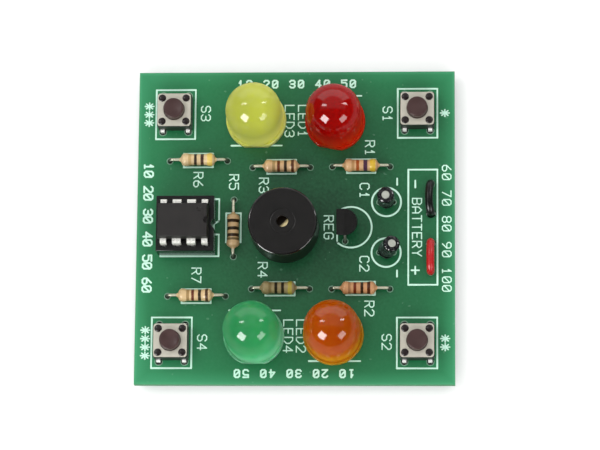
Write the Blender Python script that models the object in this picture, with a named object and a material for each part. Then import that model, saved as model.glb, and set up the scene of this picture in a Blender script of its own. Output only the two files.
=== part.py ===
"""Electronic mole pounding game on one square circuit board.

Four push buttons stand at the corners, each beside a 10 mm lamp. A chip in a socket, a buzzer, a voltage
regulator, two capacitors, seven resistors and two battery leads fill the middle. Every wire goes through its
hole and ends in a soldered tail under the board, and the game stands on those tails.

Lengths are in metres. X runs to the right and Y to the rear of the board. Z is up, and is zero at the tails.
"""

import math

import bmesh
import bpy
from mathutils import Matrix, Vector

MM = 0.001

# Board and solder joints
board_width = 55.88 * MM
board_depth = 55.88 * MM
board_thickness = 1.6 * MM
tail_length = 2.0 * MM
solder_radius = 0.85 * MM
solder_height = 1.0 * MM
solder_gap = 0.02 * MM
seat_gap = 0.05 * MM
hole_clearance = 0.14 * MM
hole_sides = 6
solder_sides = 6
overrun = 1.0 * MM
weld_distance = 0.0002 * MM

# Places, as shares of the board's half width and half depth
button_place_shares = {1: (0.765, 0.732), 2: (0.765, -0.740), 3: (-0.765, 0.729), 4: (-0.765, -0.740)}
lamp_place_shares = {1: (0.247, 0.671), 2: (0.244, -0.691), 3: (-0.252, 0.682), 4: (-0.251, -0.697)}
resistor_place_shares = {
    1: (0.412, 0.383),
    2: (0.412, -0.398),
    3: (-0.091, 0.380),
    4: (-0.090, -0.397),
    5: (-0.388, -0.009),
    6: (-0.615, 0.423),
    7: (-0.616, -0.443),
}
socket_place_share = (-0.682, -0.006)
buzzer_place_share = (-0.066, -0.018)
regulator_place_share = (0.313, -0.004)
capacitor_place_shares = {1: (0.571, 0.155), 2: (0.571, -0.166)}
lead_place_shares = {"black": (0.850, 0.176), "red": (0.848, -0.198)}

# Lamps
lamp_diameter = 9.7 * MM
lamp_dome_base = 8.2 * MM
flange_lip = 0.42 * MM
flange_thickness = 1.6 * MM
flange_flat_land = 0.01 * MM
lamp_pitch = 2.54 * MM
frame_strip = 0.5 * MM
potting_gap = 0.1 * MM
cup_radius = 0.8 * MM
cup_height = 1.3 * MM
cup_level = 5.0 * MM
cup_recess_depth = 0.6 * MM
cup_recess_share = 0.75
cup_floor_share = 0.4
arm_height = 1.5 * MM
flag_height = 1.6 * MM
flag_reach = 0.7 * MM
lamp_sides = 18
lamp_dome_steps = 4
cup_sides = 6
lamp_turn_degrees = {1: -10.0, 2: 180.0, 3: 0.0, 4: 0.0}

# Resistors
resistor_span = 10.16 * MM
resistor_length = 5.9 * MM
resistor_radius = 1.15 * MM
resistor_lift = 0.12 * MM
resistor_outline_shares = ((0.0, 0.46), (0.04, 0.86), (0.12, 1.0), (0.27, 0.87))
resistor_wire_radius = 0.28 * MM
resistor_bend = 0.7 * MM
core_wall = 0.17 * MM
core_end_wall = 0.42 * MM
coating_gap = 0.05 * MM
resistor_sides = 10
wire_sides = 6
bend_steps = 2
resistor_shift_shares = {1: 0.0, 2: -0.033, 3: 0.0, 4: -0.03, 5: -0.065, 6: 0.0, 7: -0.01}
resistor_turn_degrees = {1: 0.0, 2: 0.0, 3: 0.0, 4: 0.0, 5: 90.0, 6: 0.0, 7: 0.0}

# Push buttons
switch_side = 6.0 * MM
switch_corner = 0.25 * MM
switch_base_height = 3.1 * MM
cover_thickness = 0.25 * MM
cover_inset = 0.08 * MM
cover_corner = 0.5 * MM
cover_gap = 0.02 * MM
button_radius = 1.78 * MM
button_height = 1.5 * MM
button_bevel = 0.18 * MM
button_clearance = 0.1 * MM
button_travel = 0.25 * MM
well_wall = 0.65 * MM
well_floor = 1.0 * MM
well_clearance = 0.12 * MM
collar_lip = 0.4 * MM
collar_thickness = 0.5 * MM
boss_radius = 0.8 * MM
contact_radius = 0.5 * MM
contact_height = 0.1 * MM
dome_height = 0.45 * MM
dome_thickness = 0.1 * MM
dome_rim_gap = 0.08 * MM
press_gap = 0.04 * MM
rivet_inset = 0.9 * MM
rivet_radius = 0.42 * MM
rivet_head_radius = 0.66 * MM
rivet_head_height = 0.22 * MM
solder_pin_share = 0.6
terminal_pitch = 4.5 * MM
terminal_reach = 0.25 * MM
terminal_width = 0.7 * MM
terminal_thickness = 0.3 * MM
terminal_level = 0.7 * MM
terminal_kink = 0.05 * MM
terminal_kink_share = 0.5
terminal_root = 0.35 * MM
round_sides = 12
rivet_sides = 6
dome_sides = 10
dome_steps = 2

# Chip and socket
pin_pitch = 2.54 * MM
pins_in_row = 4
row_spacing = 7.62 * MM
chip_end = 0.64 * MM
chip_shift = -0.17 * MM
shoulder_reach = 0.72 * MM
chip_height = 3.2 * MM
chip_draft = 0.18 * MM
chip_lift = 0.12 * MM
pin_thickness = 0.28 * MM
shoulder_width = 1.5 * MM
end_shoulder_cut = 0.42 * MM
pin_width = 0.46 * MM
pin_depth = 2.6 * MM
chip_notch_radius = 0.6 * MM
chip_notch_depth = 0.7 * MM
dimple_radius = 0.35 * MM
dimple_depth = 0.12 * MM
dimple_inset = 1.55 * MM
dimple_side_inset = 1.25 * MM
socket_end = 1.25 * MM
socket_side = 1.09 * MM
socket_height = 4.2 * MM
socket_rail = 2.1 * MM
socket_bar = 1.2 * MM
socket_notch_radius = 0.9 * MM
socket_notch_share = 0.6
slot_clearance = 0.2 * MM
slot_floor = 1.2 * MM
socket_tail_width = 0.5 * MM
socket_tail_thickness = 0.28 * MM
socket_tail_root = 0.5 * MM
notch_sides = 10
dimple_sides = 6

# Buzzer
buzzer_diameter = 12.0 * MM
buzzer_height = 7.6 * MM
buzzer_wall = 0.75 * MM
buzzer_top = 0.8 * MM
buzzer_bevel = 0.3 * MM
sound_hole_radius = 1.0 * MM
chamber_step = 0.6 * MM
chamber_height = 1.6 * MM
buzzer_fit = 0.05 * MM
buzzer_base_thickness = 1.0 * MM
buzzer_pin_pitch = 7.6 * MM
buzzer_pin_radius = 0.3 * MM
yoke_thickness = 0.7 * MM
pole_radius = 1.3 * MM
pole_gap = 0.25 * MM
diaphragm_thickness = 0.12 * MM
mass_radius = 1.9 * MM
mass_thickness = 0.3 * MM
magnet_wall = 1.0 * MM
coil_wall = 1.6 * MM
coil_gap = 0.15 * MM
coil_height_share = 0.8
buzzer_sides = 20
coil_sides = 12

# Voltage regulator
regulator_width = 4.6 * MM
regulator_depth = 3.5 * MM
regulator_height = 4.7 * MM
regulator_flat = 1.25 * MM
regulator_draft = 0.12 * MM
regulator_lift = 2.4 * MM
regulator_lean_degrees = 11.0
regulator_shift = 0.45 * MM
regulator_pin_pitch = 1.27 * MM
regulator_hole_pitch = 2.54 * MM
regulator_wire_radius = 0.25 * MM
regulator_wire_root = 0.4 * MM
regulator_wire_straight = 0.5 * MM
regulator_sides = 10

# Capacitors
can_diameter = 3.0 * MM
can_height = 5.0 * MM
can_wall = 0.15 * MM
can_shoulder = 0.45 * MM
can_recess_share = 0.53
can_recess_depth = 0.06 * MM
crimp_level = 0.9 * MM
crimp_depth = 0.12 * MM
crimp_half_height = 0.2 * MM
seal_gap = 0.05 * MM
seal_height = 0.9 * MM
winding_wall = 0.3 * MM
winding_gap = 0.25 * MM
can_lift = 1.5 * MM
can_pin_pitch = 1.0 * MM
can_hole_pitch = 2.54 * MM
can_wire_radius = 0.2 * MM
can_wire_straight = 0.25 * MM
can_wire_root = 0.3 * MM
can_sides = 12
capacitor_lean_degrees = {1: 0.0, 2: 14.0}
capacitor_lean_heading_degrees = {1: 0.0, 2: 22.0}

# Battery leads
lead_diameter = 1.4 * MM
lead_conductor_radius = 0.35 * MM
lead_hole_pitch = 5.08 * MM
lead_strip_height = 0.4 * MM
lead_arch_height = 2.1 * MM
lead_bow = 0.35 * MM
lead_bow_shares = {"black": 1.0, "red": 0.15}
lead_rise_share = 0.5
lead_steps = 8
lead_sides = 8

# Levels, from the board's top face
underside = -board_thickness
tail_end = underside - tail_length
solder_top = underside - solder_gap
solder_low = solder_top - solder_height
board_top = tail_length + board_thickness

# Stands an outline drawn in X and Y upright, with its X along the board's Y and its Y along Z
UPRIGHT = Matrix(((0, 0, 1, 0), (1, 0, 0, 0), (0, 1, 0, 0), (0, 0, 0, 1)))
LYING = Matrix.Rotation(math.pi / 2, 4, "Y")


def clear_scene():
    for item in list(bpy.data.objects):
        bpy.data.objects.remove(item, do_unlink=True)


def finish_of(name, colour, roughness, metallic=0.0):
    """A Principled material."""
    made = bpy.data.materials.new(name)
    made.use_nodes = True
    shader = made.node_tree.nodes["Principled BSDF"]
    shader.inputs["Base Color"].default_value = (*colour, 1.0)
    shader.inputs["Roughness"].default_value = roughness
    shader.inputs["Metallic"].default_value = metallic
    made.diffuse_color = (*colour, 1.0)
    return made


def tidied(shape):
    """Close seams and poles, and point the faces outwards."""
    bmesh.ops.remove_doubles(shape, verts=shape.verts, dist=weld_distance)
    bmesh.ops.recalc_face_normals(shape, faces=shape.faces)
    return shape


def moved(shape, place):
    bmesh.ops.transform(shape, matrix=place, verts=shape.verts)
    return shape


def shifted(shape, x, y, z=0.0):
    return moved(shape, Matrix.Translation((x, y, z)))


def turned(profile, sides, ring=False):
    """Turn (radius, height) points about Z. A ring's profile closes on itself, clear of the axis."""
    shape = bmesh.new()
    points = [shape.verts.new((radius, 0.0, height)) for radius, height in profile]
    pairs = list(zip(points, points[1:]))
    if ring:
        pairs.append((points[-1], points[0]))
    edges = [shape.edges.new(pair) for pair in pairs]
    bmesh.ops.spin(
        shape,
        geom=points + edges,
        axis=(0.0, 0.0, 1.0),
        cent=(0.0, 0.0, 0.0),
        angle=math.tau,
        steps=sides,
        use_merge=True,
    )
    return tidied(shape)


def rod(radius, low, high, sides):
    return turned(((0.0, low), (radius, low), (radius, high), (0.0, high)), sides)


def block(low, high):
    """A box between two corners."""
    shape = bmesh.new()
    low, high = Vector(low), Vector(high)
    size = Matrix.Diagonal((*(high - low), 1.0))
    bmesh.ops.create_cube(shape, size=1.0, matrix=Matrix.Translation((low + high) / 2) @ size)
    return shape


def plate(outline, thickness, place=Matrix.Identity(4)):
    """An outline in X and Y, given its thickness half to each side, then put in place."""
    shape = bmesh.new()
    face = shape.faces.new([shape.verts.new((x, y, -thickness / 2)) for x, y in outline])
    grown = bmesh.ops.extrude_face_region(shape, geom=[face])
    top = [item for item in grown["geom"] if isinstance(item, bmesh.types.BMVert)]
    bmesh.ops.translate(shape, verts=top, vec=(0.0, 0.0, thickness))
    return moved(tidied(shape), place)


def strip(route, thickness, width, place=UPRIGHT):
    """A flat strip bent along a route, drawn in its own plane and widened across it."""
    points = [Vector(point) for point in route]
    left, right = [], []
    for index, point in enumerate(points):
        before = (point - points[index - 1]).normalized() if index else None
        after = (points[index + 1] - point).normalized() if index + 1 < len(points) else None
        before, after = before or after, after or before
        along = (before + after).normalized()
        side = Vector((-along.y, along.x)) * thickness / 2 / max(along.dot(before), 0.5)
        left.append(point + side)
        right.append(point - side)
    return plate(left + right[::-1], width, place)


def round_run(stations, sides, across=(0.0, 1.0, 0.0)):
    """A round wire through (x, y, z, radius) stations. Two stations at one point make a step."""
    shape = bmesh.new()
    centres = [Vector(station[:3]) for station in stations]
    frames = []
    for index, centre in enumerate(centres):
        earlier = [other for other in centres[:index] if (other - centre).length > weld_distance]
        later = [other for other in centres[index + 1 :] if (other - centre).length > weld_distance]
        along = Vector()
        if earlier:
            along += (centre - earlier[-1]).normalized()
        if later:
            along += (later[0] - centre).normalized()
        along.normalize()
        first = (Vector(across) - along * Vector(across).dot(along)).normalized()
        turn = Matrix((first, along.cross(first), along)).transposed().to_4x4()
        size = Matrix.Diagonal((*[stations[index][3]] * 3, 1.0))
        frames.append(Matrix.Translation(centre) @ turn @ size)
    bmesh.ops.create_circle(shape, cap_ends=True, segments=sides, radius=1.0, matrix=frames[0])
    end = shape.faces[:][0]
    for here, there in zip(frames, frames[1:]):
        grown = bmesh.ops.extrude_face_region(shape, geom=[end, *end.edges])
        verts = [item for item in grown["geom"] if isinstance(item, bmesh.types.BMVert)]
        end = next(item for item in grown["geom"] if isinstance(item, bmesh.types.BMFace))
        bmesh.ops.transform(shape, matrix=there @ here.inverted(), verts=verts)
    bmesh.ops.recalc_face_normals(shape, faces=shape.faces)
    return shape


def object_of(name, shape):
    mesh = bpy.data.meshes.new(name)
    shape.to_mesh(mesh)
    shape.free()
    made = bpy.data.objects.new(name, mesh)
    bpy.context.scene.collection.objects.link(made)
    return made


def joined(base, added=(), removed=()):
    """One closed shape: the base, with shapes fused to it and shapes cut out of it."""
    kept = object_of("base", base)
    tools = []
    for operation, shapes in (("UNION", added), ("DIFFERENCE", removed)):
        for shape in shapes:
            tools.append(object_of("tool", shape))
            step = kept.modifiers.new(operation, "BOOLEAN")
            step.operation = operation
            step.object = tools[-1]
    view = bpy.context.evaluated_depsgraph_get()
    result = bmesh.new()
    result.from_object(kept, view)
    for used in (kept, *tools):
        mesh = used.data
        bpy.data.objects.remove(used, do_unlink=True)
        bpy.data.meshes.remove(mesh)
    bmesh.ops.remove_doubles(result, verts=result.verts, dist=weld_distance)
    return result


def finished(shape, name):
    """The mesh of a shape, smooth on its round faces."""
    mesh = bpy.data.meshes.new(name)
    shape.to_mesh(mesh)
    shape.free()
    mesh.shade_smooth()
    mesh.set_sharp_from_angle(angle=math.radians(32))
    return mesh


def piece(name, mesh, finish, place, parent, turn_degrees=0.0, level=board_top):
    """One named object of a mesh, standing on the board's top face at its place."""
    made = bpy.data.objects.new(name, mesh)
    bpy.context.scene.collection.objects.link(made)
    if not mesh.materials:
        mesh.materials.append(finish)
    made.material_slots[0].link = "OBJECT"
    made.material_slots[0].material = finish
    made.location = (place[0], place[1], level)
    made.rotation_euler = (0.0, 0.0, math.radians(turn_degrees))
    made.parent = parent
    return made


def on_board(share):
    """A place on the board from its shares of the half width and half depth."""
    return share[0] * board_width / 2, share[1] * board_depth / 2


def turned_place(place, offset, degrees):
    """A point at an offset from a place, once the piece there is turned."""
    offset = Matrix.Rotation(math.radians(degrees), 2) @ Vector(offset)
    return place[0] + offset.x, place[1] + offset.y


def solder_tail(x, y, radius):
    """Stations of a soldered tail, from its cut end up to the board's underside."""
    return [
        (x, y, tail_end, radius),
        (x, y, solder_low, radius),
        (x, y, solder_top, solder_radius),
        (x, y, solder_top, radius),
    ]


def solder_cone(x, y, tip_radius):
    """The solder round a flat pin, under the board."""
    profile = ((0.0, solder_low), (tip_radius, solder_low), (solder_radius, solder_top), (0.0, solder_top))
    return shifted(turned(profile, solder_sides), x, y)


def arc(centre, radius, start, end, steps):
    """Points on an arc of a circle, from one angle in degrees to another."""
    angles = [math.radians(start + (end - start) * step / steps) for step in range(steps + 1)]
    return [(centre[0] + radius * math.cos(a), centre[1] + radius * math.sin(a)) for a in angles]


# Round lamps with a flat on the flange's cathode side


def lamp_lens():
    radius = lamp_diameter / 2
    flange = radius + flange_lip
    flange_top = seat_gap + flange_thickness
    dome = arc((0.0, lamp_dome_base), radius, 0.0, 90.0, lamp_dome_steps)
    profile = [(0.0, seat_gap), (flange, seat_gap), (flange, flange_top), (radius, flange_top), *dome]
    body = turned(profile, lamp_sides)
    flat = block(
        (-flange, -flange - overrun, seat_gap - overrun),
        (flange, -radius - flange_flat_land, flange_top + flange_flat_land),
    )
    half = frame_strip / 2 + potting_gap
    reach = lamp_pitch / 2 + frame_strip / 2 + potting_gap
    pocket_top = cup_level + cup_height + potting_gap
    posts = block((-half, -reach, seat_gap - overrun), (half, reach + flag_reach, pocket_top))
    cup = rod(cup_radius + potting_gap, cup_level - potting_gap, pocket_top, cup_sides)
    return joined(body, removed=[flat, posts, cup])


def lamp_cathode():
    """A stamped post with an arm under the lamp's axis, and the reflector cup that holds the chip."""
    half = frame_strip / 2
    near, far = -lamp_pitch / 2 - half, -lamp_pitch / 2 + half
    outline = (
        (near, tail_end),
        (far, tail_end),
        (far, cup_level - arm_height),
        (cup_radius / 2, cup_level - arm_height / 2),
        (cup_radius / 2, cup_level + half),
        (near, cup_level + half),
    )
    cup_top = cup_level + cup_height
    cup = turned(
        (
            (0.0, cup_level),
            (cup_radius, cup_level),
            (cup_radius, cup_top),
            (cup_radius * cup_recess_share, cup_top),
            (cup_radius * cup_floor_share, cup_top - cup_recess_depth),
            (0.0, cup_top - cup_recess_depth),
        ),
        cup_sides,
    )
    solder = solder_cone(0.0, -lamp_pitch / 2, frame_strip)
    return joined(plate(outline, frame_strip, UPRIGHT), added=[cup, solder])


def lamp_anode():
    """A stamped post with a flag that keeps it in the resin."""
    half = frame_strip / 2
    near, far = lamp_pitch / 2 - half, lamp_pitch / 2 + half
    top = cup_level + cup_height
    outline = (
        (near, tail_end),
        (far, tail_end),
        (far, top - flag_height),
        (far + flag_reach, top - flag_height / 2),
        (far + flag_reach, top),
        (near, top),
    )
    return joined(plate(outline, frame_strip, UPRIGHT), added=[solder_cone(0.0, lamp_pitch / 2, frame_strip)])


def lamps(parent, drill):
    lens = finished(lamp_lens(), "lamp_lens")
    cathode = finished(lamp_cathode(), "lamp_cathode")
    anode = finished(lamp_anode(), "lamp_anode")
    tin = finish_of("lamp_frame_tin", (0.72, 0.70, 0.66), 0.3, 1.0)
    colours = {
        1: ("red", (0.55, 0.01, 0.01)),
        2: ("orange", (0.60, 0.14, 0.01)),
        3: ("yellow", (0.50, 0.52, 0.09)),
        4: ("green", (0.03, 0.36, 0.12)),
    }
    hole = frame_strip * math.sqrt(2) / 2 + hole_clearance
    for number, share in lamp_place_shares.items():
        place = on_board(share)
        turn = lamp_turn_degrees[number]
        word, colour = colours[number]
        resin = finish_of(f"lamp_{number}_{word}_resin", colour, 0.1)
        piece(f"lamp_{number}_lens", lens, resin, place, parent, turn)
        piece(f"lamp_{number}_cathode", cathode, tin, place, parent, turn)
        piece(f"lamp_{number}_anode", anode, tin, place, parent, turn)
        for side in (-1, 1):
            drill(*turned_place(place, (0.0, side * lamp_pitch / 2), turn), hole)


# Resistors: a lacquered shell on a ceramic core that carries both wires


def resistor_axis():
    return resistor_radius + resistor_lift


def core_half_length():
    return resistor_length / 2 - core_end_wall


def core_radius():
    return resistor_radius * resistor_outline_shares[-1][1] - core_wall


def resistor_coating(shift):
    half = resistor_length / 2
    outer = [(share * resistor_length - half, out * resistor_radius) for share, out in resistor_outline_shares]
    outer += [(-along, radius) for along, radius in reversed(outer)]
    bore = resistor_wire_radius + coating_gap
    room = core_radius() + coating_gap
    end = core_half_length() + coating_gap
    inner = [(half, bore), (end, room), (-end, room), (-half, bore)]
    profile = [(radius, along) for along, radius in outer + inner]
    shape = moved(turned(profile, resistor_sides, ring=True), LYING)
    return shifted(shape, shift, 0.0, resistor_axis())


def resistor_core(shift):
    level = resistor_axis()
    half = resistor_span / 2
    wire = resistor_wire_radius
    bend = arc((-half + resistor_bend, level - resistor_bend), resistor_bend, 180.0, 90.0, bend_steps)
    rising = solder_tail(-half, 0.0, wire) + [(x, 0.0, z, wire) for x, z in bend]
    falling = [(-x, y, z, radius) for x, y, z, radius in reversed(rising)]
    reach = core_half_length()
    core = [
        (shift - reach, 0.0, level, wire),
        (shift - reach, 0.0, level, core_radius()),
        (shift + reach, 0.0, level, core_radius()),
        (shift + reach, 0.0, level, wire),
    ]
    return round_run(rising + core + falling, wire_sides)


def resistors(parent, drill):
    lacquer = finish_of("resistor_lacquer", (0.62, 0.46, 0.29), 0.35)
    tin = finish_of("resistor_wire_tin", (0.70, 0.69, 0.66), 0.3, 1.0)
    for number, share in resistor_place_shares.items():
        place = on_board(share)
        turn = resistor_turn_degrees[number]
        shift = resistor_shift_shares[number] * resistor_span
        coating = finished(resistor_coating(shift), f"resistor_{number}_coating")
        core = finished(resistor_core(shift), f"resistor_{number}_core")
        piece(f"resistor_{number}_coating", coating, lacquer, place, parent, turn)
        piece(f"resistor_{number}_core", core, tin, place, parent, turn)
        for side in (-1, 1):
            hole = turned_place(place, (side * resistor_span / 2, 0.0), turn)
            drill(*hole, resistor_wire_radius + hole_clearance)


# Push buttons: base with its terminals, riveted cover plate, plunger and snap dome


def switch_top():
    return seat_gap + switch_base_height


def cover_low():
    return switch_top() + cover_gap


def cover_high():
    return cover_low() + cover_thickness


def dome_floor():
    return seat_gap + well_floor


def dome_top():
    return dome_floor() + dome_height


def well_radius():
    return switch_side / 2 - well_wall


def collar_radius():
    return min(button_radius + collar_lip, well_radius() - well_clearance)


def rivet_places():
    offset = switch_side / 2 - rivet_inset
    return [(x * offset, y * offset) for x in (-1, 1) for y in (-1, 1)]


def terminal_places():
    reach = switch_side / 2 + terminal_reach
    return [(x * terminal_pitch / 2, y * reach) for x in (-1, 1) for y in (-1, 1)]


def rounded_square(half, corner, steps=1):
    outline = []
    for quarter, (x, y) in enumerate(((1, 1), (-1, 1), (-1, -1), (1, -1))):
        centre = (x * (half - corner), y * (half - corner))
        outline += arc(centre, corner, quarter * 90.0, quarter * 90.0 + 90.0, steps)
    return outline


def switch_terminal(x, y):
    """A pin that leaves the base's side, drops, and kinks inside its hole to hold the switch down."""
    side = 1 if y > 0 else -1
    out = abs(y) + terminal_kink
    level = seat_gap + terminal_level
    route = (
        (side * (switch_side / 2 - terminal_root), level),
        (side * out, level),
        (side * out, 0.0),
        (side * (abs(y) - terminal_kink), underside * terminal_kink_share),
        (side * abs(y), solder_top),
        (side * abs(y), tail_end),
    )
    return shifted(strip(route, terminal_thickness, terminal_width), x, 0.0)


def switch_base():
    height = switch_base_height
    body = plate(rounded_square(switch_side / 2, switch_corner), height)
    shifted(body, 0.0, 0.0, seat_gap + height / 2)
    well = rod(well_radius(), dome_floor(), switch_top() + overrun, round_sides)
    contact = rod(contact_radius, dome_floor() - contact_height, dome_floor() + contact_height, rivet_sides)
    head = cover_high() + cover_gap
    rivet_profile = (
        (0.0, switch_top() - rivet_radius),
        (rivet_radius, switch_top() - rivet_radius),
        (rivet_radius, head),
        (rivet_head_radius, head),
        (rivet_radius, head + rivet_head_height),
        (0.0, head + rivet_head_height),
    )
    added = [shifted(turned(rivet_profile, rivet_sides), x, y) for x, y in rivet_places()]
    for x, y in terminal_places():
        added.append(switch_terminal(x, y))
        added.append(solder_cone(x, y, terminal_width * solder_pin_share))
    hollow = joined(body, removed=[well])
    return joined(hollow, added=[contact, *added])


def switch_cover():
    sheet = plate(rounded_square(switch_side / 2 - cover_inset, cover_corner), cover_thickness)
    shifted(sheet, 0.0, 0.0, (cover_low() + cover_high()) / 2)
    low, high = cover_low() - overrun, cover_high() + overrun
    holes = [rod(button_radius + button_clearance, low, high, round_sides)]
    for x, y in rivet_places():
        holes.append(shifted(rod(rivet_radius + cover_gap * 2, low, high, rivet_sides), x, y))
    return joined(sheet, removed=holes)


def switch_plunger():
    """The button with its collar under the cover and the boss that presses the dome."""
    collar_top = cover_low() - press_gap
    top = cover_high() + button_height
    return turned(
        (
            (0.0, dome_top() + press_gap),
            (boss_radius, dome_top() + press_gap),
            (boss_radius, collar_top - collar_thickness),
            (collar_radius(), collar_top - collar_thickness),
            (collar_radius(), collar_top),
            (button_radius, collar_top),
            (button_radius, top - button_bevel),
            (button_radius - button_bevel, top),
            (0.0, top),
        ),
        round_sides,
    )


def switch_dome():
    """A sprung disc, shallow like a watch glass, that snaps down on the contact."""
    rim = well_radius() - dome_rim_gap
    upper = [
        (rim * math.sin(turn), dome_height * math.cos(turn))
        for turn in [math.pi / 2 * step / dome_steps for step in range(dome_steps, -1, -1)]
    ]
    inner_rim = rim - dome_thickness
    inner_height = dome_height - dome_thickness
    lower = [
        (inner_rim * math.sin(turn), inner_height * math.cos(turn))
        for turn in [math.pi / 2 * step / dome_steps for step in range(dome_steps + 1)]
    ]
    shape = turned(lower + upper, dome_sides)
    return shifted(shape, 0.0, 0.0, dome_floor() + cover_gap)


def buttons(parent, drill):
    base = finished(switch_base(), "switch_base")
    cover = finished(switch_cover(), "switch_cover")
    plunger = finished(switch_plunger(), "switch_plunger")
    dome = finished(switch_dome(), "switch_dome")
    black = finish_of("switch_base_black", (0.02, 0.02, 0.02), 0.5)
    steel = finish_of("switch_cover_steel", (0.62, 0.57, 0.50), 0.35, 1.0)
    brown = finish_of("switch_plunger_brown", (0.08, 0.045, 0.045), 0.45)
    spring = finish_of("switch_dome_steel", (0.70, 0.70, 0.68), 0.25, 1.0)
    hole = math.hypot(terminal_width / 2, terminal_thickness / 2 + terminal_kink) + hole_clearance
    for number, share in button_place_shares.items():
        place = on_board(share)
        piece(f"button_{number}_base", base, black, place, parent)
        piece(f"button_{number}_cover", cover, steel, place, parent)
        piece(f"button_{number}_plunger", plunger, brown, place, parent)
        piece(f"button_{number}_dome", dome, spring, place, parent)
        for x, y in terminal_places():
            drill(place[0] + x, place[1] + y, hole)


# Chip in its socket


def row_length():
    return (pins_in_row - 1) * pin_pitch


def pin_places():
    """(x, side, end) for each pin: end is -1 or 1 at the ends of a row, otherwise 0."""
    places = []
    for index in range(pins_in_row):
        end = {0: -1, pins_in_row - 1: 1}.get(index, 0)
        places += [(index * pin_pitch - row_length() / 2, side, end) for side in (-1, 1)]
    return places


def chip_shape():
    half_x = row_length() / 2 + chip_end
    half_y = row_spacing / 2 - shoulder_reach
    low = seat_gap + socket_height + chip_lift
    middle = low + chip_height / 2
    body = block((-half_x, -half_y, low), (half_x, half_y, low + chip_height))
    everything = [*body.verts, *body.edges, *body.faces]
    bmesh.ops.bisect_plane(body, geom=everything, plane_co=(0.0, 0.0, middle), plane_no=(0.0, 0.0, 1.0))
    for vert in body.verts:
        if abs(vert.co.z - middle) > weld_distance:
            vert.co.x -= math.copysign(chip_draft, vert.co.x)
            vert.co.y -= math.copysign(chip_draft, vert.co.y)
    shifted(body, chip_shift, 0.0)
    top = low + chip_height
    notch = rod(chip_notch_radius, top - chip_notch_depth, top + overrun, notch_sides)
    dimple = rod(dimple_radius, top - dimple_depth, top + overrun, dimple_sides)
    shifted(notch, chip_shift + half_x - chip_draft, 0.0)
    shifted(dimple, chip_shift + half_x - dimple_inset, half_y - dimple_side_inset)
    pins = []
    shoulder_end = seat_gap + socket_height + chip_lift / 2
    row = row_spacing / 2
    for x, side, end in pin_places():
        route = (
            (side * (half_y - shoulder_reach), middle),
            (side * (row - pin_thickness), middle),
            (side * row, middle - pin_thickness),
            (side * row, shoulder_end),
        )
        width = shoulder_width - end_shoulder_cut * abs(end)
        pins.append(shifted(strip(route, pin_thickness, width), x - end * end_shoulder_cut / 2, 0.0))
        tip = side * row
        pins.append(
            block(
                (x - pin_width / 2, tip - pin_thickness / 2, shoulder_end - pin_depth),
                (x + pin_width / 2, tip + pin_thickness / 2, shoulder_end + pin_thickness),
            )
        )
    return joined(joined(body, removed=[notch, dimple]), added=pins)


def socket_shape():
    half_x = row_length() / 2 + socket_end
    half_y = row_spacing / 2 + socket_side
    top = seat_gap + socket_height
    frame = block((-half_x, -half_y, seat_gap), (half_x, half_y, top))
    window_y = half_y - socket_rail
    cuts = [
        block(
            (min(near, far), -window_y, seat_gap - overrun),
            (max(near, far), window_y, top + overrun),
        )
        for near, far in (
            (-half_x + socket_bar, -socket_bar / 2),
            (socket_bar / 2, half_x - socket_bar),
        )
    ]
    notch = rod(socket_notch_radius, seat_gap - overrun, top + overrun, notch_sides)
    cuts.append(shifted(notch, half_x + socket_notch_radius * (1 - socket_notch_share), 0.0))
    added = []
    row = row_spacing / 2
    slot_x = pin_width / 2 + slot_clearance
    slot_y = pin_thickness / 2 + slot_clearance
    for x, side, _ in pin_places():
        y = side * row
        cuts.append(
            block((x - slot_x, y - slot_y, seat_gap + slot_floor), (x + slot_x, y + slot_y, top + overrun))
        )
        added.append(
            block(
                (x - socket_tail_width / 2, y - socket_tail_thickness / 2, tail_end),
                (x + socket_tail_width / 2, y + socket_tail_thickness / 2, seat_gap + socket_tail_root),
            )
        )
        added.append(solder_cone(x, y, socket_tail_width * solder_pin_share))
    return joined(joined(frame, removed=cuts), added=added)


def chip_and_socket(parent, drill):
    place = on_board(socket_place_share)
    chip = finish_of("chip_epoxy", (0.045, 0.042, 0.04), 0.6)
    nylon = finish_of("socket_nylon", (0.015, 0.014, 0.015), 0.45)
    piece("chip", finished(chip_shape(), "chip"), chip, place, parent)
    piece("chip_socket", finished(socket_shape(), "chip_socket"), nylon, place, parent)
    for x, side, _ in pin_places():
        drill(place[0] + x, place[1] + side * row_spacing / 2, socket_tail_width / 2 + hole_clearance)


# Magnetic buzzer: case, base with pins, yoke, magnet, coil and diaphragm


def buzzer_bore():
    return buzzer_diameter / 2 - buzzer_wall


def ledge_level():
    return seat_gap + buzzer_height - buzzer_top - chamber_height


def base_top_level():
    return seat_gap + buzzer_fit + buzzer_base_thickness


def yoke_top():
    return base_top_level() + buzzer_fit + yoke_thickness


def buzzer_case():
    outer = buzzer_diameter / 2
    top = seat_gap + buzzer_height
    chamber = buzzer_bore() - chamber_step
    return turned(
        (
            (sound_hole_radius, top - buzzer_top),
            (chamber, top - buzzer_top),
            (chamber, ledge_level()),
            (buzzer_bore(), ledge_level()),
            (buzzer_bore(), seat_gap),
            (outer, seat_gap),
            (outer, top - buzzer_bevel),
            (outer - buzzer_bevel, top),
            (sound_hole_radius, top),
        ),
        buzzer_sides,
        ring=True,
    )


def buzzer_base():
    radius = buzzer_bore() - buzzer_fit
    disc = rod(radius, base_top_level() - buzzer_base_thickness, base_top_level(), coil_sides)
    pins = []
    for side in (-1, 1):
        x = side * buzzer_pin_pitch / 2
        root = base_top_level() - buzzer_base_thickness / 2
        stations = solder_tail(x, 0.0, buzzer_pin_radius) + [(x, 0.0, root, buzzer_pin_radius)]
        pins.append(round_run(stations, wire_sides))
    return joined(disc, added=pins)


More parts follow.
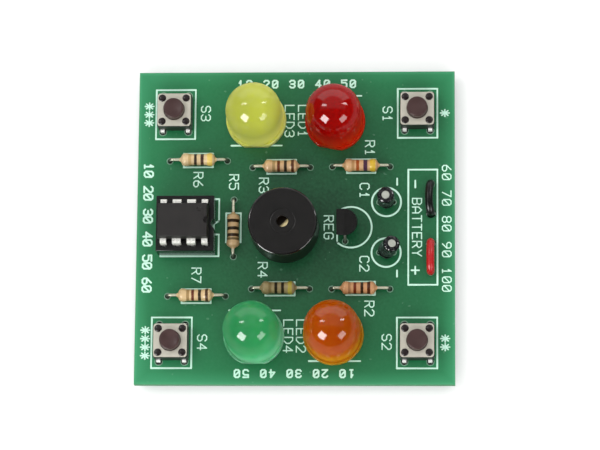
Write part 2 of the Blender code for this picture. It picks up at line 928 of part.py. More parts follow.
def buzzer_yoke():
    """A steel disc with the pole that stands in the coil, just short of the diaphragm."""
    low = base_top_level() + buzzer_fit
    pole_top = ledge_level() - diaphragm_thickness - buzzer_fit - pole_gap
    radius = buzzer_bore() - buzzer_fit
    profile = (
        (0.0, low),
        (radius, low),
        (radius, yoke_top()),
        (pole_radius, yoke_top()),
        (pole_radius, pole_top),
        (0.0, pole_top),
    )
    return turned(profile, coil_sides)


def buzzer_magnet():
    outer = buzzer_bore() - buzzer_fit
    low = yoke_top() + buzzer_fit
    high = ledge_level() - buzzer_fit * 2 - diaphragm_thickness
    inner = outer - magnet_wall
    return turned(((inner, low), (outer, low), (outer, high), (inner, high)), coil_sides, ring=True)


def buzzer_coil():
    inner = pole_radius + coil_gap
    outer = inner + coil_wall
    low = yoke_top() + buzzer_fit
    room = ledge_level() - buzzer_fit - diaphragm_thickness - low
    high = low + room * coil_height_share
    return turned(((inner, low), (outer, low), (outer, high), (inner, high)), coil_sides, ring=True)


def buzzer_diaphragm():
    """A thin disc under the case's ledge, with a small mass at its centre."""
    radius = buzzer_bore() - buzzer_fit
    high = ledge_level() - buzzer_fit
    profile = (
        (0.0, high - diaphragm_thickness),
        (radius, high - diaphragm_thickness),
        (radius, high),
        (mass_radius, high),
        (mass_radius, high + mass_thickness),
        (0.0, high + mass_thickness),
    )
    return turned(profile, coil_sides)


def buzzer(parent, drill):
    place = on_board(buzzer_place_share)
    parts = (
        ("case", buzzer_case, finish_of("buzzer_case_plastic", (0.025, 0.022, 0.023), 0.4)),
        ("base", buzzer_base, finish_of("buzzer_base_laminate", (0.35, 0.28, 0.15), 0.6)),
        ("yoke", buzzer_yoke, finish_of("buzzer_yoke_steel", (0.55, 0.54, 0.52), 0.35, 1.0)),
        ("magnet", buzzer_magnet, finish_of("buzzer_magnet_ferrite", (0.08, 0.08, 0.08), 0.7)),
        ("coil", buzzer_coil, finish_of("buzzer_coil_copper", (0.72, 0.32, 0.14), 0.3, 1.0)),
        ("diaphragm", buzzer_diaphragm, finish_of("buzzer_diaphragm_brass", (0.70, 0.58, 0.34), 0.3, 1.0)),
    )
    for word, make, finish in parts:
        piece(f"buzzer_{word}", finished(make(), f"buzzer_{word}"), finish, place, parent)
    for side in (-1, 1):
        drill(place[0] + side * buzzer_pin_pitch / 2, place[1], buzzer_pin_radius + hole_clearance)


# Voltage regulator, leaning a little on its splayed wires


def regulator_outline():
    """A half round outline with its flat towards -X and its wires' plane at x = 0."""
    half = regulator_width / 2
    flat_x = -regulator_flat
    back_x = regulator_depth - regulator_flat
    curve = [
        (back_x * math.cos(turn), half * math.sin(turn))
        for turn in [math.pi * (step / regulator_sides - 0.5) for step in range(regulator_sides + 1)]
    ]
    return [(flat_x, half - regulator_draft), *reversed(curve), (flat_x, -half + regulator_draft)]


def regulator_shape():
    body = plate(regulator_outline(), regulator_height)
    shifted(body, 0.0, 0.0, regulator_height / 2)
    for vert in body.verts:
        if vert.co.x < -weld_distance and vert.co.z > weld_distance:
            vert.co.x += regulator_draft
    lean = Matrix.Rotation(math.radians(regulator_lean_degrees), 4, "X")
    place = Matrix.Translation((0.0, regulator_shift, regulator_lift)) @ lean
    moved(body, place)
    wires = []
    radius = regulator_wire_radius
    for side in (-1, 0, 1):
        y = side * regulator_pin_pitch
        root = place @ Vector((0.0, y, regulator_wire_root))
        exit_point = place @ Vector((0.0, y, -regulator_wire_straight))
        hole = side * regulator_hole_pitch
        stations = solder_tail(0.0, hole, radius)
        stations.append((0.0, hole, regulator_wire_straight, radius))
        stations.append((*exit_point, radius))
        stations.append((*root, radius))
        wires.append(round_run(stations, wire_sides))
    return joined(body, added=wires)


def regulator(parent, drill):
    place = on_board(regulator_place_share)
    finish = finish_of("regulator_epoxy", (0.02, 0.018, 0.018), 0.55)
    piece("regulator", finished(regulator_shape(), "regulator"), finish, place, parent)
    for side in (-1, 0, 1):
        drill(place[0], place[1] + side * regulator_hole_pitch, regulator_wire_radius + hole_clearance)


# Small electrolytic capacitors: a crimped can over the winding, seal and wires


def can_place(number):
    """How a can stands over its two holes."""
    lean = Matrix.Rotation(math.radians(capacitor_lean_degrees[number]), 4, "Y")
    heading = Matrix.Rotation(math.radians(capacitor_lean_heading_degrees[number]), 4, "Z")
    return Matrix.Translation((0.0, 0.0, can_lift)) @ heading @ lean @ heading.inverted()


def capacitor_can(number):
    radius = can_diameter / 2
    inner = radius - can_wall
    top = can_height
    shoulder = arc((radius - can_shoulder, top - can_shoulder), can_shoulder, 0.0, 90.0, 2)
    profile = [
        (0.0, top - can_wall - can_recess_depth),
        (inner - can_wall, top - can_wall - can_recess_depth),
        (inner - can_wall, crimp_level + crimp_half_height),
        (inner - crimp_depth, crimp_level),
        (inner - crimp_depth / 2, 0.0),
        (radius - can_wall / 2, 0.0),
        (radius, crimp_level - crimp_half_height),
        (radius - crimp_depth, crimp_level),
        (radius, crimp_level + crimp_half_height),
        *shoulder,
        (radius * can_recess_share, top),
        (radius * can_recess_share, top - can_recess_depth),
        (0.0, top - can_recess_depth),
    ]
    return moved(turned(profile, can_sides), can_place(number))


def capacitor_core(number):
    """The winding on its rubber seal, with both wires splayed to their holes."""
    winding = can_diameter / 2 - can_wall * 2 - seal_gap
    seal = can_diameter / 2 - can_wall - crimp_depth - seal_gap
    seal_top = crimp_level - crimp_half_height
    top = can_height - can_wall - can_recess_depth - winding_gap
    body = turned(
        (
            (0.0, seal_gap),
            (seal, seal_gap),
            (seal, crimp_level + crimp_half_height),
            (min(winding, seal), crimp_level + crimp_half_height),
            (winding - winding_wall, seal_top + winding_gap + crimp_half_height * 2),
            (winding - winding_wall, top),
            (0.0, top),
        ),
        lead_sides,
    )
    place = can_place(number)
    moved(body, place)
    wires = []
    for side in (-1, 1):
        x = side * can_pin_pitch / 2
        hole = side * can_hole_pitch / 2
        stations = solder_tail(hole, 0.0, can_wire_radius)
        stations.append((hole, 0.0, can_wire_straight, can_wire_radius))
        stations.append((*(place @ Vector((x, 0.0, -can_wire_straight))), can_wire_radius))
        stations.append((*(place @ Vector((x, 0.0, can_wire_root))), can_wire_radius))
        wires.append(round_run(stations, wire_sides))
    return joined(body, added=wires)


def capacitors(parent, drill):
    sleeve = finish_of("capacitor_sleeve", (0.03, 0.028, 0.03), 0.2)
    rubber = finish_of("capacitor_seal_rubber", (0.05, 0.05, 0.05), 0.7)
    for number, share in capacitor_place_shares.items():
        place = on_board(share)
        can = finished(capacitor_can(number), f"capacitor_{number}_can")
        core = finished(capacitor_core(number), f"capacitor_{number}_core")
        piece(f"capacitor_{number}_can", can, sleeve, place, parent)
        piece(f"capacitor_{number}_core", core, rubber, place, parent)
        for side in (-1, 1):
            drill(place[0] + side * can_hole_pitch / 2, place[1], can_wire_radius + hole_clearance)


# Battery leads: up through a lacing hole, over in an arch, and down to a soldered hole


def battery_lead(away, bow):
    """The soldered end lies at +Y times away, and the lacing hole at the other side."""
    half = lead_hole_pitch / 2
    radius = lead_diameter / 2
    stations = solder_tail(0.0, away * half, lead_conductor_radius)
    stations.append((0.0, away * half, lead_strip_height, lead_conductor_radius))
    stations.append((0.0, away * half, lead_strip_height, radius))
    rise = lead_arch_height * lead_rise_share
    for step in range(lead_steps + 1):
        turn = math.pi * step / lead_steps
        height = rise + (lead_arch_height - rise) * math.sin(turn)
        stations.append((-bow * math.sin(turn), away * half * math.cos(turn), height, radius))
    stations.append((0.0, -away * half, 0.0, radius))
    stations.append((0.0, -away * half, tail_end, radius))
    return round_run(stations, lead_sides, across=(1.0, 0.0, 0.0))


def battery_leads(parent, drill):
    colours = {"black": (0.02, 0.02, 0.022), "red": (0.55, 0.02, 0.02)}
    for word, share in lead_place_shares.items():
        place = on_board(share)
        away = 1 if word == "black" else -1
        mesh = finished(battery_lead(away, lead_bow * lead_bow_shares[word]), f"battery_lead_{word}")
        finish = finish_of(f"lead_{word}_vinyl", colours[word], 0.4)
        piece(f"battery_lead_{word}", mesh, finish, place, parent)
        half = lead_hole_pitch / 2
        drill(place[0], place[1] + away * half, lead_conductor_radius + hole_clearance)
        drill(place[0], place[1] - away * half, lead_diameter / 2 + hole_clearance)


# Board with every hole that the parts above asked for


def circuit_board(parent, holes):
    half_x, half_y = board_width / 2, board_depth / 2
    slab = block((-half_x, -half_y, underside), (half_x, half_y, 0.0))
    cutter = bmesh.new()
    for x, y, radius in holes:
        place = Matrix.Translation((x, y, underside / 2))
        bmesh.ops.create_cone(
            cutter,
            cap_ends=True,
            segments=hole_sides,
            radius1=radius,
            radius2=radius,
            depth=board_thickness + overrun,
            matrix=place,
        )
    board = finished(joined(slab, removed=[cutter]), "circuit_board")
    mask = finish_of("board_green_mask", (0.045, 0.20, 0.085), 0.25)
    piece("circuit_board", board, mask, (0.0, 0.0), parent)


def build():
    clear_scene()
    game = bpy.data.objects.new("mole_pounding_game", None)
    bpy.context.scene.collection.objects.link(game)
    holes = []

    def drill(x, y, radius):
        holes.append((x, y, radius))

    for make in (lamps, resistors, buttons, chip_and_socket, buzzer, regulator, capacitors, battery_leads):
        make(game, drill)
    circuit_board(game, holes)


build()
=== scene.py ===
"""Looks of the mole pounding game: green mask, print, resin lamps, lacquer, plastic and tinned metal.

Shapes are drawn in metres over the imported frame. Their heights are measured from the top of the board, until
at() stands them in their place, where Z is zero under the cut tails.
"""

import math

import bmesh
import bpy
from mathutils import Matrix, Vector, noise


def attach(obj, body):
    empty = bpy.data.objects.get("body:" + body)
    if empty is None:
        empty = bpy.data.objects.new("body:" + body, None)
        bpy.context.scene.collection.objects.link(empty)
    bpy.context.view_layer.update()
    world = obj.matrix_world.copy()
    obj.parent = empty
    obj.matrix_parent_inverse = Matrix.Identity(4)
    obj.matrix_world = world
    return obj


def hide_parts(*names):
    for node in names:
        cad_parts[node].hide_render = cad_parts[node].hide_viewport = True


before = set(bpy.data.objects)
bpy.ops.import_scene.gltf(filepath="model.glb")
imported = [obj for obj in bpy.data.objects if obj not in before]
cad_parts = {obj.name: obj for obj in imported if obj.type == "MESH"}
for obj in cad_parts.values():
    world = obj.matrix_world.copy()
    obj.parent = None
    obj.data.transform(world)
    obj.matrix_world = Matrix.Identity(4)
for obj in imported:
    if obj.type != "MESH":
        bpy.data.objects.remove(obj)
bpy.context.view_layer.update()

MM = 0.001
MICRON = 0.000001

# Board
board_side = 55.88 * MM
board_top = 3.6 * MM
board_thickness = 1.6 * MM
mask_thickness = 0.03 * MM
mask_margin = 0.06 * MM
mask_hole_gap = 0.02 * MM
seat = 0.05 * MM
underside = -board_thickness
tail_end = -board_top
tail_point = 0.06 * MM
tail_point_share = 0.8
solder_radius = 0.85 * MM
solder_height = 1.0 * MM
solder_gap = 0.02 * MM
hole_clearance = 0.14 * MM
overrun = 1.0 * MM
pad_limit = 0.6 * MM
pad_gap = 0.03 * MM
pad_width = 0.16 * MM
pad_height = 0.006 * MM
half_side = board_side / 2
crease_angle = math.radians(35.0)

# Places, as shares of the board's half side
button_shares = {1: (0.765, 0.732), 2: (0.765, -0.740), 3: (-0.765, 0.729), 4: (-0.765, -0.740)}
lamp_shares = {1: (0.247, 0.671), 2: (0.244, -0.691), 3: (-0.252, 0.682), 4: (-0.251, -0.697)}
resistor_shares = {
    1: (0.412, 0.383), 2: (0.412, -0.398), 3: (-0.091, 0.380), 4: (-0.090, -0.397),
    5: (-0.388, -0.009), 6: (-0.615, 0.423), 7: (-0.616, -0.443),
}
socket_share = (-0.682, -0.006)
buzzer_share = (-0.066, -0.018)
regulator_share = (0.313, -0.004)
capacitor_shares = {1: (0.571, 0.155), 2: (0.571, -0.166)}
lead_shares = {"black": (0.850, 0.176), "red": (0.848, -0.198)}
lamp_turns = {1: -10.0, 2: 180.0, 3: 0.0, 4: 0.0}
resistor_turns = {1: 0.0, 2: 0.0, 3: 0.0, 4: 0.0, 5: 90.0, 6: 0.0, 7: 0.0}
resistor_shift_shares = {1: 0.0, 2: -0.033, 3: 0.0, 4: -0.03, 5: -0.065, 6: 0.0, 7: -0.01}


# Finishes


class Shade:
    """A number, colour or vector inside a finish. Arithmetic on it adds Math nodes."""

    def __init__(self, finish, socket):
        self.finish = finish
        self.socket = socket

    def __add__(self, other):
        return self.finish.maths("ADD", self, other)

    __radd__ = __add__

    def __sub__(self, other):
        return self.finish.maths("SUBTRACT", self, other)

    def __rsub__(self, other):
        return self.finish.maths("SUBTRACT", other, self)

    def __mul__(self, other):
        return self.finish.maths("MULTIPLY", self, other)

    __rmul__ = __mul__

    def __truediv__(self, other):
        return self.finish.maths("DIVIDE", self, other)

    def __pow__(self, other):
        return self.finish.maths("POWER", self, other)


class Finish:
    """One material, worked out from the place on the object, or the room's light, from the direction.

    A colour of three numbers is written as it looks on a screen, from 0 to 255.
    """

    def __init__(self, name, owner=None, reads="Object"):
        self.material = owner or bpy.data.materials.new(name)
        self.material.use_nodes = True
        self.tree = self.material.node_tree
        self.tree.nodes.clear()
        self.place = self.node("ShaderNodeTexCoord", out=reads)

    def node(self, kind, settings=None, sockets=None, out=0):
        node = self.tree.nodes.new(kind)
        for name, value in (settings or {}).items():
            if name == "stops":
                ramp = node.color_ramp
                while len(ramp.elements) < len(value):
                    ramp.elements.new(1.0)
                for element, (position, paint) in zip(ramp.elements, value):
                    element.position = position
                    element.color = tint(*paint)
            else:
                setattr(node, name, value)
        for key, value in (sockets or {}).items():
            if isinstance(value, Shade):
                self.tree.links.new(value.socket, node.inputs[key])
            else:
                node.inputs[key].default_value = value
        return Shade(self, node.outputs[out])

    def maths(self, operation, *values):
        return self.node("ShaderNodeMath", {"operation": operation}, dict(enumerate(values)))

    def mix(self, share, first, second):
        first, second = [paint if isinstance(paint, Shade) else tint(*paint) for paint in (first, second)]
        return self.node("ShaderNodeMix", {"data_type": "RGBA"}, {0: share, 6: first, 7: second}, out=2)

    def grain(self, size, detail=3.0, stretch=(1.0, 1.0, 1.0)):
        """Soft random values from 0 to 1, with blotches about this size, stretched along each axis."""
        steps = [1 / (size * factor) for factor in stretch]
        spread = self.node("ShaderNodeVectorMath", {"operation": "MULTIPLY"}, {0: self.place, 1: steps})
        return self.node("ShaderNodeTexNoise", None, {"Vector": spread, "Scale": 1.0, "Detail": detail})

    def axes(self):
        """X, Y and Z on the object, in metres."""
        node = self.tree.nodes.new("ShaderNodeSeparateXYZ")
        self.tree.links.new(self.place.socket, node.inputs[0])
        return [Shade(self, socket) for socket in node.outputs]

    def outward(self):
        """How far a place lies from the board's middle lines, whichever is further."""
        x, y = [self.maths("ABSOLUTE", axis) for axis in self.axes()[:2]]
        return self.maths("MAXIMUM", x, y)

    def step(self, value, low, high):
        """0 below low and 1 above high, with a smooth rise between."""
        sockets = {"Value": value, "From Min": low, "From Max": high}
        return self.node("ShaderNodeMapRange", {"interpolation_type": "SMOOTHSTEP"}, sockets)

    def above(self, low, high):
        """A step between two heights over the board's top."""
        return self.step(self.axes()[2], board_top + low, board_top + high)

    def relief(self, height, depth):
        """The bump that a height from 0 to 1 makes over a depth."""
        return self.node("ShaderNodeBump", None, {"Height": height, "Distance": depth, "Strength": 1.0})

    def surface(self, colour, roughness, relief=None, **constants):
        sockets = {"Base Color": colour, "Roughness": roughness}
        if relief is not None:
            sockets["Normal"] = relief
        sockets.update({name.replace("_", " "): value for name, value in constants.items()})
        return self.node("ShaderNodeBsdfPrincipled", None, sockets)

    def painted(self, *inputs, **constants):
        return self.done(self.surface(*inputs, **constants))

    def done(self, shader, end="ShaderNodeOutputMaterial"):
        self.tree.links.new(shader.socket, self.tree.nodes.new(end).inputs["Surface"])
        return self.material


def tint(red, green, blue):
    """A colour as it looks on a screen, from 0 to 255, in the shader's own linear values."""
    values = [level / 255 for level in (red, green, blue)]
    return (*[v / 12.92 if v <= 0.04045 else ((v + 0.055) / 1.055) ** 2.4 for v in values], 1.0)


def toned(paint, gain):
    """The same colour, darker or lighter."""
    return [min(level * gain, 255) for level in paint]


def plain(name, dark, light, rough, size=0.6 * MM, depth=4 * MICRON, fine=0.09 * MM, **constants):
    """A finish that drifts between two colours, with a fine relief and uneven gloss."""
    finish = Finish(name)
    blotch = finish.grain(size)
    speck = finish.grain(fine, 2.0)
    roughness = rough + (speck - 0.5) * 0.12
    relief = finish.relief(speck, depth)
    return finish.painted(finish.mix(blotch, dark, light), roughness, relief, **constants)


def green_mask():
    """Gloss mask over the laminate, with painted light and shade: painted shade darkens the crowded middle,
    and painted light makes it lighter towards the left, the front, the rim and the cut edge.
    """
    finish = Finish("green_mask")
    x, y = [axis / half_side for axis in finish.axes()[:2]]
    drift = finish.grain(9 * MM, 2.0) - 0.5
    # Painted shade and light: lower, darker values in the middle and on the right; higher, lighter ones
    # towards the rim, the left and the front.
    level = (x * x + y * y) * 0.5 + drift * 0.16 - x * 0.12 - y * 0.04
    stops = [
        (0.0, (16, 58, 35)),
        (0.13, (20, 80, 47)),
        (0.32, (22, 93, 55)),
        (0.62, (27, 112, 67)),
        (0.95, (38, 128, 82)),
    ]
    colour = finish.node("ShaderNodeValToRGB", {"stops": stops}, {0: level})
    outward = finish.outward()
    # Painted light along the rim, stronger at the front.
    rim = finish.step(outward, 0.90 * half_side, half_side) * (0.26 - y * 0.08)
    colour = finish.mix(rim, colour, (70, 168, 118))
    # Painted light at the cut edge.
    edge = finish.step(outward, 0.975 * half_side, half_side)
    colour = finish.mix(edge * 0.22, colour, (104, 190, 144))
    weave = finish.grain(0.5 * MM)
    colour = finish.mix((weave - 0.5) * 0.4 + 0.12, colour, (44, 128, 82))
    speck = finish.step(finish.grain(0.8 * MM, 0.0), 0.84, 0.88)
    colour = finish.mix(speck * 0.2, colour, (120, 170, 140))
    roughness = 0.24 + (weave - 0.5) * 0.12
    return finish.painted(colour, roughness, finish.relief(finish.grain(1.6 * MM), 6 * MICRON))


def laminate():
    """Green glass cloth and resin, seen on the cut edge; inside the holes it is painted dark, as painted
    shade.
    """
    finish = Finish("laminate")
    layers = finish.grain(0.25 * MM, 3.0, (8.0, 8.0, 0.6))
    edge = finish.step(finish.outward(), half_side - 0.4 * MM, half_side - 0.1 * MM)
    # Painted shade: away from the outer edge, inside the holes, a dark green stands in for the cloth.
    colour = finish.mix(edge, (26, 52, 38), finish.mix(layers, (62, 126, 86), (100, 160, 122)))
    relief = finish.relief(layers, 12 * MICRON)
    return finish.painted(colour, 0.55 + layers * 0.2, relief, Specular_IOR_Level=0.2)


def print_ink():
    finish = Finish("print_ink")
    fine = finish.grain(0.07 * MM, 2.0)
    colour = finish.mix(finish.grain(0.5 * MM), (180, 226, 203), (204, 241, 223))
    return finish.painted(colour, 0.45 + (fine - 0.5) * 0.2, finish.relief(fine, 4 * MICRON))


def tin(name, dark=(150, 146, 138), light=(226, 222, 214), rough=0.2, streak=(1.0, 1.0, 1.0), metal=1.0):
    """Bright tinned metal with faint drawing marks and patches of duller tin."""
    finish = Finish(name)
    patch = finish.grain(0.7 * MM)
    marks = finish.grain(0.06 * MM, 2.0, streak)
    roughness = rough + (patch - 0.5) * 0.16 + (marks - 0.5) * 0.08
    relief = finish.relief(marks, 2.5 * MICRON)
    return finish.painted(finish.mix(patch, dark, light), roughness, relief, Metallic=metal)


def bent_wire_tin(name, bend_low, bend_high):
    """Cream tinned wire with painted shade: a dark grey-green from where it bends down to where it enters the
    board.
    """
    finish = Finish(name)
    patch = finish.grain(0.5 * MM)
    marks = finish.grain(0.06 * MM, 2.0)
    # Painted shade over the bend and down to where the wire enters the board.
    painted_shade = finish.above(-0.4 * MM, 0.1 * MM) * (1 - finish.above(bend_low, bend_high))
    colour = finish.mix(painted_shade, finish.mix(patch, (158, 160, 130), (214, 213, 192)), (74, 82, 70))
    roughness = 0.3 + (patch - 0.5) * 0.16 + (marks - 0.5) * 0.08
    return finish.painted(colour, roughness, finish.relief(marks, 2.5 * MICRON), Metallic=0.3)


def resin(name, middle, spread, deep, rim, clear, share, foot_share, scatter):
    """Tinted lamp resin: cloudy in the dome, clearer down at the flange, and polished outside.

    The side that faces away from the main window is painted paler, as painted light where light gathers in it,
    and the paler colour of the foot is partly the clearer resin and partly painted light.
    """
    finish = Finish(name)
    reach = 4.4 * MM
    # Painted light: the far side of the lamp from the main window is painted paler.
    painted_far_side_light = finish.step(finish.axes()[0], middle - reach, middle + reach)
    swirl = finish.grain(3.0 * MM, 2.0)
    height = finish.above(1.0 * MM, 9.0 * MM) + (swirl - 0.5) * 0.15
    near, far = 1 - 0.6 * spread, 1 + spread
    shades = [finish.mix(painted_far_side_light, toned(paint, near), toned(paint, far)) for paint in (rim, deep)]
    fine = finish.grain(0.35 * MM, 2.0)
    relief = finish.relief(fine, 0.6 * MICRON)
    cloudy = finish.surface(
        finish.mix(height, *shades),
        0.3 + fine * 0.1,
        relief,
        Specular_IOR_Level=0.0,
        Coat_Weight=0.25 + finish.above(8.4 * MM, 10.6 * MM) * 0.75,
        Coat_IOR=1.54,
        Subsurface_Weight=1.0,
        Subsurface_Radius=scatter,
        Subsurface_Scale=1.2 * MM,
    )
    glassy = finish.surface(clear, 0.04 + fine * 0.02, relief, IOR=1.5, Transmission_Weight=1.0)
    foot = 1 - finish.above(1.4 * MM, 6.0 * MM)
    amount = share + foot * (foot_share - share)
    return finish.done(finish.node("ShaderNodeMixShader", None, {0: amount, 1: cloudy, 2: glassy}))


def lacquer(name, body, centre, axis, bands):
    """Resistor lacquer with painted bands, each (low, high, colour) along the body from its middle."""
    finish = Finish(name)
    wander = (finish.grain(0.45 * MM, 2.0) - 0.5) * (0.10 * MM)
    along = finish.axes()[axis] - centre + wander
    dust = finish.grain(0.3 * MM)
    colour = finish.mix(finish.grain(1.5 * MM, 2.0), toned(body, 0.90), toned(body, 1.08))
    soft, bleed = 0.03 * MM, 0.05 * MM
    for low, high, paint in bands:
        low, high = low * MM - bleed, high * MM + bleed
        band = finish.step(along, low - soft, low + soft) * (1 - finish.step(along, high - soft, high + soft))
        colour = finish.mix(band * (0.97 + (dust - 0.5) * 0.1), colour, paint)
    relief = finish.relief(dust, 5 * MICRON)
    return finish.painted(colour, 0.30 + (dust - 0.5) * 0.16, relief, Specular_IOR_Level=0.35)


def wrinkled_sleeve():
    """Glossy black sleeve shrunk over the can, with small creases that glint."""
    finish = Finish("sleeve_black")
    colour = finish.mix(finish.grain(0.12 * MM, 2.0), (6, 6, 8), (20, 19, 25))
    patches = finish.step(finish.grain(0.4 * MM, 1.0), 0.42, 0.52)
    shoulder = 0.3 + finish.above(5.0 * MM, 5.8 * MM) * 0.7
    relief = finish.relief(finish.grain(0.5 * MM, 2.0, (1.0, 1.0, 1.5)), 420 * MICRON)
    gloss = patches * shoulder
    return finish.painted(colour, 0.3, relief, Specular_IOR_Level=0.1, Coat_Weight=gloss, Coat_IOR=1.7)


def brushed_steel():
    finish = Finish("cover_plate_steel")
    lines = finish.grain(0.05 * MM, 2.0, (14.0, 1.0, 1.0))
    patch = finish.grain(1.6 * MM)
    colour = finish.mix(patch, (184, 180, 166), (200, 196, 182))
    roughness = 0.42 + (lines - 0.5) * 0.2 + (patch - 0.5) * 0.1
    return finish.painted(colour, roughness, finish.relief(lines, 2.5 * MICRON), Metallic=0.35)


def turned_plastic(name, dark, light, centre, ring, polish=(1.0, 1.0)):
    """Plastic with faint rings left by a turned mould, and glossy beyond the polish radius and height."""
    finish = Finish(name)
    x, y = [axis - middle for axis, middle in zip(finish.axes(), centre)]
    radius = (x * x + y * y) ** 0.5
    rings = finish.maths("SINE", radius / ring) * 0.5 + 0.5
    speck = finish.grain(0.08 * MM)
    blotch = finish.grain(2.2 * MM)
    inner, low = polish
    polished = finish.step(radius, inner, inner + 0.1 * MM) * finish.above(low, low + 0.2 * MM)
    roughness = 0.34 + (speck - 0.5) * 0.14 + (blotch - 0.5) * 0.12 - polished * 0.22
    relief = finish.relief(speck * 0.7 + rings * 0.3, 5 * MICRON)
    colour = finish.mix(blotch, dark, light)
    return finish.painted(colour, roughness, relief, Specular_IOR_Level=0.42, Coat_Weight=polished)


def diaphragm_brass(centre):
    """Brass with painted light and shade: painted bright where light falls through the sound hole, painted
    nearly black on the near left as painted shadow, and with a faint painted glow.
    """
    finish = Finish("diaphragm_brass")
    x, y = [axis - middle for axis, middle in zip(finish.axes(), centre)]
    patch = finish.grain(0.4 * MM)
    painted_hole_light = x - y + (patch - 0.5) * (0.3 * MM)
    brass = finish.mix(patch, (206, 186, 132), (244, 228, 178))
    # Painted light and shadow: bright brass on one side of the hole's middle, nearly black on the other.
    colour = finish.mix(finish.step(painted_hole_light, -0.25 * MM, 0.5 * MM), (16, 11, 6), brass)
    relief = finish.relief(patch, 3 * MICRON)
    # A painted glow: the brass gives out a little light of its own colour.
    glow = {"Emission_Color": colour, "Emission_Strength": 0.45}
    return finish.painted(colour, 0.35 + patch * 0.1, relief, Metallic=0.4, **glow)


# Shapes


def at(x, y, z=0.0, turn=0.0):
    """Stands a shape at a place on the board's top."""
    return Matrix.Translation((x, y, board_top + z)) @ Matrix.Rotation(math.radians(turn), 4, "Z")


def on_board(share):
    return share[0] * half_side, share[1] * half_side


def moved(shape, place):
    bmesh.ops.transform(shape, matrix=place, verts=shape.verts)
    return shape


def shifted(shape, x, y, z=0.0):
    return moved(shape, Matrix.Translation((x, y, z)))


def direction(azimuth, elevation):
    """The way to a place at an azimuth clockwise from the rear, and at an elevation."""
    level = math.cos(elevation)
    return Vector((math.sin(azimuth) * level, math.cos(azimuth) * level, math.sin(elevation)))


def faced(across, up, back, middle):
    """A place whose own X, Y and Z point along three directions."""
    place = Matrix((across, up, back)).transposed().to_4x4()
    place.translation = middle
    return place


def arc(centre, radius, start, end, steps):
    angles = [math.radians(start + (end - start) * step / steps) for step in range(steps + 1)]
    return [(centre[0] + radius * math.cos(a), centre[1] + radius * math.sin(a)) for a in angles]


def unit_arc(start, end, steps):
    return arc((0.0, 0.0), 1.0, start, end, steps)


def together(*shapes):
    """One shape from several."""
    whole = bmesh.new()
    for shape in shapes:
        mesh = bpy.data.meshes.new("part")
        shape.to_mesh(mesh)
        shape.free()
        whole.from_mesh(mesh)
        bpy.data.meshes.remove(mesh)
    return whole


def spun(profile, sides, closed=False):
    """A profile of (radius, height) spun about the vertical axis. A closed one makes a ring."""
    shape = bmesh.new()
    verts = [shape.verts.new((radius, 0.0, height)) for radius, height in profile]
    pairs = list(zip(verts, verts[1:]))
    if closed:
        pairs.append((verts[-1], verts[0]))
    edges = [shape.edges.new(pair) for pair in pairs]
    turn = {"axis": (0.0, 0.0, 1.0), "angle": math.tau, "steps": sides, "use_merge": True}
    bmesh.ops.spin(shape, geom=verts + edges, cent=(0.0, 0.0, 0.0), **turn)
    bmesh.ops.remove_doubles(shape, verts=shape.verts, dist=MICRON)
    bmesh.ops.recalc_face_normals(shape, faces=shape.faces)
    return shape


def block(low, high):
    size = [top - bottom for bottom, top in zip(low, high)]
    middle = [(top + bottom) / 2 for bottom, top in zip(low, high)]
    shape = bmesh.new()
    bmesh.ops.create_cube(shape, size=1.0, matrix=Matrix.Translation(middle) @ Matrix.Diagonal((*size, 1.0)))
    return shape


def raised(shape, height):
    """Extrudes a flat shape straight up."""
    grown = bmesh.ops.extrude_face_region(shape, geom=shape.faces[:])
    verts = [item for item in grown["geom"] if isinstance(item, bmesh.types.BMVert)]
    bmesh.ops.translate(shape, vec=(0.0, 0.0, height), verts=verts)
    bmesh.ops.recalc_face_normals(shape, faces=shape.faces)
    return shape


def plate(outline, low, high):
    """A flat outline raised from one height to another."""
    shape = bmesh.new()
    shape.faces.new([shape.verts.new((x, y, low)) for x, y in outline])
    return raised(shape, high - low)


def rod(x, y, radius, low, high, sides=28):
    shape = bmesh.new()
    ends = {"radius1": radius, "radius2": radius, "depth": high - low}
    place = Matrix.Translation((x, y, (low + high) / 2))
    bmesh.ops.create_cone(shape, cap_ends=True, segments=sides, matrix=place, **ends)
    return shape


def swept(stations, sides=16, across=(0.0, 1.0, 0.0), flat=False):
    """A run through stations of (x, y, z, half width, half thickness), round or with a flat section."""
    shape = bmesh.new()
    first = Vector(across)
    points = [Vector(station[:3]) for station in stations]
    frames = []
    for index, point in enumerate(points):
        before = next((p for p in reversed(points[:index]) if (p - point).length > MICRON), point)
        after = next((p for p in points[index + 1 :] if (p - point).length > MICRON), point)
        along = (after - before).normalized()
        side = (first - along * first.dot(along)).normalized()
        section = Matrix.Diagonal((stations[index][3], stations[index][-1], 1.0, 1.0))
        frames.append(faced(side, along.cross(side), along, point) @ section)
    corner = Matrix.Rotation(math.pi / 4, 4, "Z") if flat else Matrix.Identity(4)
    radius = math.sqrt(2) if flat else 1.0
    segments = 4 if flat else sides
    bmesh.ops.create_circle(shape, cap_ends=True, segments=segments, radius=radius, matrix=frames[0] @ corner)
    end = shape.faces[:][0]
    for here, there in zip(frames, frames[1:]):
        grown = bmesh.ops.extrude_face_region(shape, geom=[end, *end.edges])
        verts = [item for item in grown["geom"] if isinstance(item, bmesh.types.BMVert)]
        end = next(item for item in grown["geom"] if isinstance(item, bmesh.types.BMFace))
        bmesh.ops.transform(shape, matrix=there @ here.inverted(), verts=verts)
    bmesh.ops.recalc_face_normals(shape, faces=shape.faces)
    return shape


def flat_strip(stations):
    """A flat strip that keeps its width along X."""
    return swept(stations, across=(1.0, 0.0, 0.0), flat=True)


